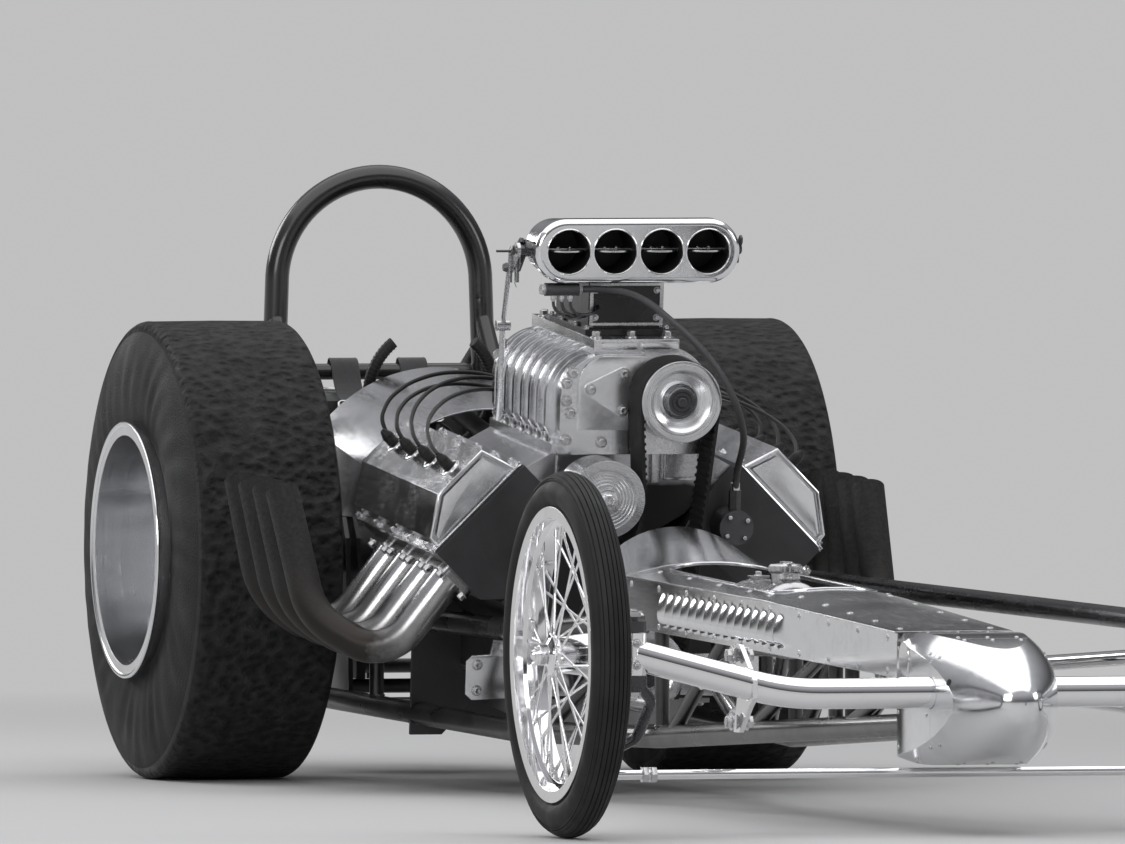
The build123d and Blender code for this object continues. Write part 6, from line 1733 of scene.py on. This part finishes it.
def hugging_loop(tree, centre, side, steps):
    """Points round a piece in the plane square to one direction, with the ways they face."""
    side, first, second = frame_for(side)
    centre = Vector(centre)
    points, faces = [], []
    for turn in turns(steps):
        arm = first * cos(turn) + second * sin(turn)
        place, normal, _, _ = tree.ray_cast(centre + arm * 0.6, -arm)
        normal = normal - side * normal.dot(side)
        points.append(place + normal.normalized() * 0.0006)
        faces.append(normal.normalized())
    return points, faces


def patch(stock, tree, corner, along, up, columns, rows, way, thick):
    """Sheet that lies on a piece: a grid of rays, with a rolled hem."""
    grid = []
    way = Vector(way)
    for row in range(rows + 1):
        line = []
        for column in range(columns + 1):
            start = Vector(corner) + Vector(along) * (column / columns) + Vector(up) * (row / rows)
            place, normal, _, _ = tree.ray_cast(start - way * 0.4, way)
            if place is None:
                place, normal, _, _ = tree.find_nearest(start)
            hem = 1.6 if row in (0, rows) or column in (0, columns) else 1.0
            line.append((place, normal * thick * hem))
        grid.append(line)
    low = [[stock.bm.verts.new(place - lift * 0.3) for place, lift in line] for line in grid]
    high = [[stock.bm.verts.new(place + lift) for place, lift in line] for line in grid]
    for row in range(rows):
        for column in range(columns):
            for layer in (low, high):
                stock.bm.faces.new((
                    layer[row][column], layer[row][column + 1], layer[row + 1][column + 1], layer[row + 1][column]))
    rim = [(0, c) for c in range(columns)] + [(r, columns) for r in range(rows)]
    rim += [(rows, c) for c in range(columns, 0, -1)] + [(r, 0) for r in range(rows, 0, -1)]
    for (ra, ca), (rb, cb) in neighbours(rim, True):
        stock.bm.faces.new((low[ra][ca], low[rb][cb], high[rb][cb], high[ra][ca]))


def buckle(stock, place, facing, side, width):
    """Slide buckle: a rounded frame with a bar across."""
    place, facing, side = Vector(place), Vector(facing).normalized(), Vector(side).normalized()
    along = facing.cross(side).normalized()
    half, tall = width / 2 + 0.006, 0.019
    corners = [(-half, -tall), (half, -tall), (half, tall), (-half, tall)]
    points = [place + side * a + along * b for a, b in corners]
    fine = []
    for here, there in neighbours(points, True):
        fine += [here.lerp(there, s) for s in (0.08, 0.5, 0.92)]
    stock.tube(fine, 0.0026, 8, closed=True)
    stock.tube([place - side * half, place + side * half], 0.0022, 8)


class CAR_OT_seat_pads(bpy.types.Operator):
    """Stuffed seat and back pads with sewn channels"""
    bl_idname = "car.seat_pads"
    bl_label = "Seat Pads"

    def execute(self, context):
        slope = atan2(0.025, 0.250)
        seat_middle = spot(-0.305, 0, 0.2475)
        seams = [k * 0.044 for k in range(-2, 3)]
        pad = soft_box("seat_pad", seat_middle, Matrix.Rotation(-slope, 4, "Y"), (0.200, 0.236, 0.026), 0.011, 0.006)
        puff(pad, 0.011)
        sew(pad, seams, LEFT, UP, 0.0045, 0.0045)
        lean = atan2(0.046, 0.424)
        back_middle = spot(-0.4445, 0, 0.452)
        back = soft_box("back_pad", back_middle, Matrix.Rotation(-lean, 4, "Y"), (0.024, 0.236, 0.300), 0.010, 0.006)
        puff(back, 0.010)
        sew(back, seams, LEFT, (1, 0, 0.1), 0.0045, 0.0045)
        for piece in (pad, back):
            dress(piece, "vinyl")
        # Piping round the edge of each pad
        piping = Stock()
        for middle, turn, end, outward in (
                (seat_middle, Matrix.Rotation(-slope, 3, "Y"), UP.zxy * 0.104, UP * 0.012),
                (back_middle, Matrix.Rotation(-lean, 3, "Y"), UP * 0.153, UP.zxy * 0.011)):
            ring = []
            for angle in turns(28):
                # Nearly square corners
                a, b = (copysign(abs(part) ** 0.35, part) for part in (cos(angle), sin(angle)))
                ring.append(middle + turn @ (end * a + outward) + LEFT * (0.1215 * b))
            piping.tube(ring, 0.0026, 8, closed=True)
        piping.object("pad_piping", "vinyl", "seat_vinyl")
        return {"FINISHED"}


BELT_WIDTH = 0.050


class CAR_OT_belts(bpy.types.Operator):
    """Shoulder and lap belts of the driver's harness"""
    bl_idname = "car.belts"
    bl_label = "Belts"

    def execute(self, context):
        webbing, metal = Stock(), Stock()
        clasp = spot(-0.345, 0, 0.292)
        for side in (1, -1):
            # From the bar behind the seat, over its top and down the back pad to the clasp
            y = side * 0.062
            rough = [
                spot(-0.5605, y, 0.690), spot(-0.548, y, 0.711), spot(-0.530, y, 0.705), spot(-0.512, y, 0.672),
                spot(-0.490, y, 0.650), spot(-0.462, y, 0.634), spot(-0.449, y, 0.600), spot(-0.436, y * 0.95, 0.520),
                spot(-0.425, y * 0.85, 0.430), spot(-0.412, y * 0.62, 0.345), spot(-0.385, y * 0.4, 0.304),
                clasp + LEFT * (side * 0.012)]
            points = smooth_run(rough, 4)
            faces = []
            for way in headings(points):
                face = LEFT.cross(way)
                faces.append(-face if face.dot(Vector((0.6, 0, 0.8))) < 0 else face)
            strap(webbing, points, faces, [LEFT] * len(points), BELT_WIDTH, 0.0026)
            buckle(metal, points[22] + faces[22] * 0.003, faces[22], LEFT, BELT_WIDTH)
            # Lap belt from the side of the bucket
            rough = [
                spot(-0.430, side * 0.134, 0.262), spot(-0.410, side * 0.122, 0.284), spot(-0.385, side * 0.085, 0.292),
                spot(-0.362, side * 0.045, 0.292), clasp + LEFT * (side * 0.014)]
            points = smooth_run(rough, 5)
            face = Vector((0.25, 0, 1))
            sides = [way.cross(face) for way in headings(points)]
            strap(webbing, points, [face] * len(points), sides, BELT_WIDTH, 0.0026)
        webbing.object("harness_belts", "webbing", "pack_canvas")
        metal.knob(clasp + UP * 0.001, (0.2, 0, 1), [
            (-0.004, 0.030), (0.004, 0.031), (0.008, 0.028), (0.0095, 0.018)], 36)
        metal.prism([clasp + Vector((x, y, 0.010)) for x, y in (
            (-0.010, -0.009), (0.030, -0.007), (0.036, 0), (0.030, 0.007), (-0.010, 0.009))], UP * 0.003, 0.0008)
        metal.object("harness_buckles", "fitting_steel", "trim_steel")
        return {"FINISHED"}


def headings(points):
    """Way that a run of points takes at each of them."""
    return [(after - before).normalized() for before, after in zip(points[:1] + points, points[1:] + points[-1:])]


def smooth_run(points, parts):
    """Points on a smooth curve through rough ones."""
    ends = [points[0]] + list(points) + [points[-1]]
    run = []
    for a, b, c, d in zip(ends, ends[1:], ends[2:], ends[3:]):
        for step in range(parts):
            t = step / parts
            run.append(0.5 * (
                2 * b + (c - a) * t + (2 * a - 5 * b + 4 * c - d) * t * t + (3 * b - a - 3 * c + d) * t * t * t))
    run.append(points[-1])
    return run


class CAR_OT_parachute(bpy.types.Operator):
    """Stuffed parachute pack with flaps, straps, bungees and its release ring"""
    bl_idname = "car.parachute"
    bl_label = "Parachute Pack"

    def execute(self, context):
        middle = spot(-0.833, 0, 0.545)
        pack = soft_box("packed_parachute", middle, Matrix.Identity(4), (0.206, 0.268, 0.180), 0.034, 0.007)
        puff(pack, 0.013)
        # It sits flat on its tray
        for vert in pack.data.vertices:
            vert.co.z = max(0.441, vert.co.z)
        sew(pack, [0.545], (0, 0, 1), (-1, 0, 0), 0.006, 0.004)
        dress(pack, "canvas")
        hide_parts("parachute_pack")
        tree = skin_tree(pack)

        flaps = Stock()
        for low, high in ((0.466, 0.541), (0.549, 0.624)):
            patch(flaps, tree, spot(-0.97, -0.112, low), (0, 0.224, 0), (0, 0, high - low), 36, 14, (1, 0, 0), 0.0022)
        patch(flaps, tree, spot(-0.905, -0.100, 0.70), (0, 0.200, 0), (0.145, 0, 0), 30, 22, (0, 0, -1), 0.0020)
        flaps.object("pack_flaps", "canvas", "pack_canvas")

        straps, metal = Stock(), Stock()
        for y in (-0.078, 0.078):
            points, faces = hugging_loop(tree, middle + LEFT * y, (0, 1, 0), 72)
            lifted = [p + f * 0.0028 for p, f in zip(points, faces)]
            strap(straps, lifted, faces, [LEFT] * len(points), 0.034, 0.0024, closed=True)
            place, normal, _, _ = tree.ray_cast(middle + Vector((-0.6, y, 0.035)), FORWARD)
            buckle(metal, place + normal * 0.0068, normal, LEFT, 0.034)
        straps.object("pack_straps", "webbing", "pack_canvas")

        bungees = Stock()
        for y in (-0.035, 0.0, 0.035):
            points = []
            for height in [0.080 * step / 12 - 0.040 for step in range(13)]:
                place, normal, _, _ = tree.ray_cast(middle + Vector((-0.6, y, height)), FORWARD)
                points.append(place + normal * 0.0052)
            bungees.tube(points, 0.0026, 8)
            for end in (points[0], points[-1]):
                metal.knob(end - FORWARD * 0.001, -FORWARD, [
                    (-0.003, 0.0065), (0.002, 0.0062), (0.0034, 0.004)], 16)
        bungees.object("pack_bungees", "grip_rubber", "pack_canvas")

        # Release ring held on the top flap by a keeper
        top = tree.ray_cast(middle + Vector((0.03, 0, 0.5)), -UP)[0]
        ring = [top + Vector((0.021 * cos(turn), 0.026 * sin(turn), 0.0062)) for turn in turns(32)]
        metal.tube(ring, 0.0028, closed=True)
        metal.block(top + Vector((0.021, 0, 0.0035)), 0.009, 0.010, 0.006, 0.001)
        metal.object("pack_metal", "fitting_steel", "trim_steel")
        return {"FINISHED"}


# Studio

# A place on the car and the pixel of the picture that shows it
CAMERA_TARGET = (1.6, 0.0, 0.45)
TARGET_PIXEL = (719.0, 537.6)
IMAGE_SIZE = (1125, 844)
PIXELS_PER_METRE = 593.7
CAMERA_DISTANCE = 60.0
CAMERA_TURN = radians(15.9)
CAMERA_RISE = radians(1.2)
SENSOR_WIDTH = 36.0
FLOOR_HALF = 320.0
# Distances from the middle between which the floor turns plain
FLOOR_FADE = (2.6, 6.5)


def floor_material(name, colour):
    """Matt studio paper: it keeps the shadows near the car and shows one plain tone further out."""
    f = Finish(name, colour, roughness=0.9)
    mottle = f.maths("MULTIPLY", f.wander(0.8, 60.0)["Cloud"], 0.1)
    f.set(Base_Color=f.blend(mottle, colour, shade(colour, 0.94)))
    path = f.add("LightPath").outputs
    seen = f.maths("ADD", path["Is Camera Ray"], path["Is Glossy Ray"])
    seen = f.maths("ADD", seen, path["Is Transmission Ray"], clamp=True)
    far = f.maths("MULTIPLY", f.spread(f.vector("LENGTH", f.place), *FLOOR_FADE), seen)
    plain = f.add("Emission", Color=colour, Strength=1.0)
    either = f.add("MixShader", i0=far, i1=f.shader.outputs[0], i2=plain.outputs[0])
    f.feed(f.tree.nodes["Material Output"], "Surface", either.outputs[0])
    return f.material


class CAR_OT_stage(bpy.types.Operator):
    """Pale floor, soft lamps and the camera"""
    bl_idname = "car.stage"
    bl_label = "Studio"

    def execute(self, context):
        scene = context.scene
        # Wide floor that fades into the air round it
        tone = tuple(scene.car_colours.floor)
        stock = bmesh.new()
        corners = ((-1, -1), (1, -1), (1, 1), (-1, 1))
        stock.faces.new([stock.verts.new((FLOOR_HALF * x, FLOOR_HALF * y, -0.0002)) for x, y in corners])
        floor = linked("studio_floor", stock)
        floor.data.materials.append(floor_material("studio_paper", tone))

        lamps = (
            ("top_softbox", (0.3, 0.0, 4.2), (0.3, 0.0, 0.4), 9.0, 7.0, 205),
            ("key_softbox", (4.6, -4.6, 2.6), (0.8, 0.0, 0.5), 3.2, 2.4, 105),
            ("fill_softbox", (3.0, 5.0, 2.2), (0.6, 0.0, 0.5), 2.4, 1.6, 40),
            ("rear_softbox", (-4.6, -2.6, 2.4), (-0.6, 0.0, 0.6), 2.4, 1.6, 60),
        )
        for name, place, aim, wide, tall, power in lamps:
            data = bpy.data.lights.new(name, "AREA")
            data.shape = "RECTANGLE"
            data.size, data.size_y, data.energy = wide, tall, power
            lamp = bpy.data.objects.new(name, data)
            lamp.location = place
            lamp.rotation_euler = (Vector(aim) - Vector(place)).to_track_quat("-Z", "Y").to_euler()
            scene.collection.objects.link(lamp)

        world = bpy.data.worlds.new("studio_air")
        scene.world = world
        world.use_nodes = True
        g = Graph(world.node_tree)
        place = g.add("TexCoord").outputs["Generated"]
        height = g.add("SeparateXYZ", Vector=place).outputs["Z"]
        sky = g.blend(g.spread(height, 0.12, 0.6), (0.03, 0.03, 0.031), (0.4, 0.403, 0.42))
        back = world.node_tree.nodes["Background"]
        g.feed(back, "Color", g.blend(g.spread(height, 0.03, 0.12), tone, sky))
        g.feed(back, "Strength", 1.0)

        data = bpy.data.cameras.new("long_lens")
        camera = bpy.data.objects.new("long_lens", data)
        scene.collection.objects.link(camera)
        data.sensor_width = SENSOR_WIDTH
        data.lens = PIXELS_PER_METRE * CAMERA_DISTANCE * SENSOR_WIDTH / IMAGE_SIZE[0]
        back_way = Vector((
            cos(CAMERA_TURN) * cos(CAMERA_RISE), -sin(CAMERA_TURN) * cos(CAMERA_RISE), sin(CAMERA_RISE)))
        turn = (-back_way).to_track_quat("-Z", "Y")
        across, down = ((pixel - size / 2) / PIXELS_PER_METRE for pixel, size in zip(TARGET_PIXEL, IMAGE_SIZE))
        aim = spot(*CAMERA_TARGET) + turn @ Vector((-across, down, 0))
        camera.location = aim + back_way * CAMERA_DISTANCE
        camera.rotation_mode = "QUATERNION"
        camera.rotation_quaternion = turn
        data.clip_start, data.clip_end = 1.0, 200.0
        scene.camera = camera
        scene.view_settings.view_transform = "Standard"
        return {"FINISHED"}


PIECE_OPERATORS = (
    CAR_OT_finishes,
    CAR_OT_front_tyres,
    CAR_OT_rear_slicks,
    CAR_OT_blower_fittings,
    CAR_OT_belt_drive,
    CAR_OT_injector_fittings,
    CAR_OT_cover_fittings,
    CAR_OT_front_wheel_fittings,
    CAR_OT_rear_wheel_fittings,
    CAR_OT_steering_fittings,
    CAR_OT_body_fasteners,
    CAR_OT_louvred_panels,
    CAR_OT_frame_fittings,
    CAR_OT_cockpit_fittings,
    CAR_OT_seat_pads,
    CAR_OT_belts,
    CAR_OT_parachute,
)


class CAR_PT_sidebar(bpy.types.Panel):
    """Sidebar panel that lists the car's pieces"""
    bl_label = "Drag Racing Car"
    bl_idname = "CAR_PT_sidebar"
    bl_space_type = "VIEW_3D"
    bl_region_type = "UI"
    bl_category = "Drag Car"

    def draw(self, context):
        layout = self.layout
        for settings in (context.scene.car_colours, context.scene.car_sizes):
            field = layout.box()
            for name in settings.__annotations__:
                field.prop(settings, name)
        for operator in (*PIECE_OPERATORS, CAR_OT_stage):
            layout.operator(operator.bl_idname)


CLASSES = (CarColours, CarSizes, *PIECE_OPERATORS, CAR_OT_stage, CAR_PT_sidebar)


def register():
    """Add the classes and their settings to Blender."""
    for one in CLASSES:
        bpy.utils.register_class(one)
    bpy.types.Scene.car_colours = bpy.props.PointerProperty(type=CarColours)
    bpy.types.Scene.car_sizes = bpy.props.PointerProperty(type=CarSizes)


def unregister():
    """Take them out again."""
    del bpy.types.Scene.car_sizes
    del bpy.types.Scene.car_colours
    for one in reversed(CLASSES):
        bpy.utils.unregister_class(one)


def main():
    """Build every piece and the studio."""
    register()
    for operator in (*PIECE_OPERATORS, CAR_OT_stage):
        group_name, call = operator.bl_idname.split(".")
        getattr(getattr(bpy.ops, group_name), call)()


if __name__ == "__main__":
    main()
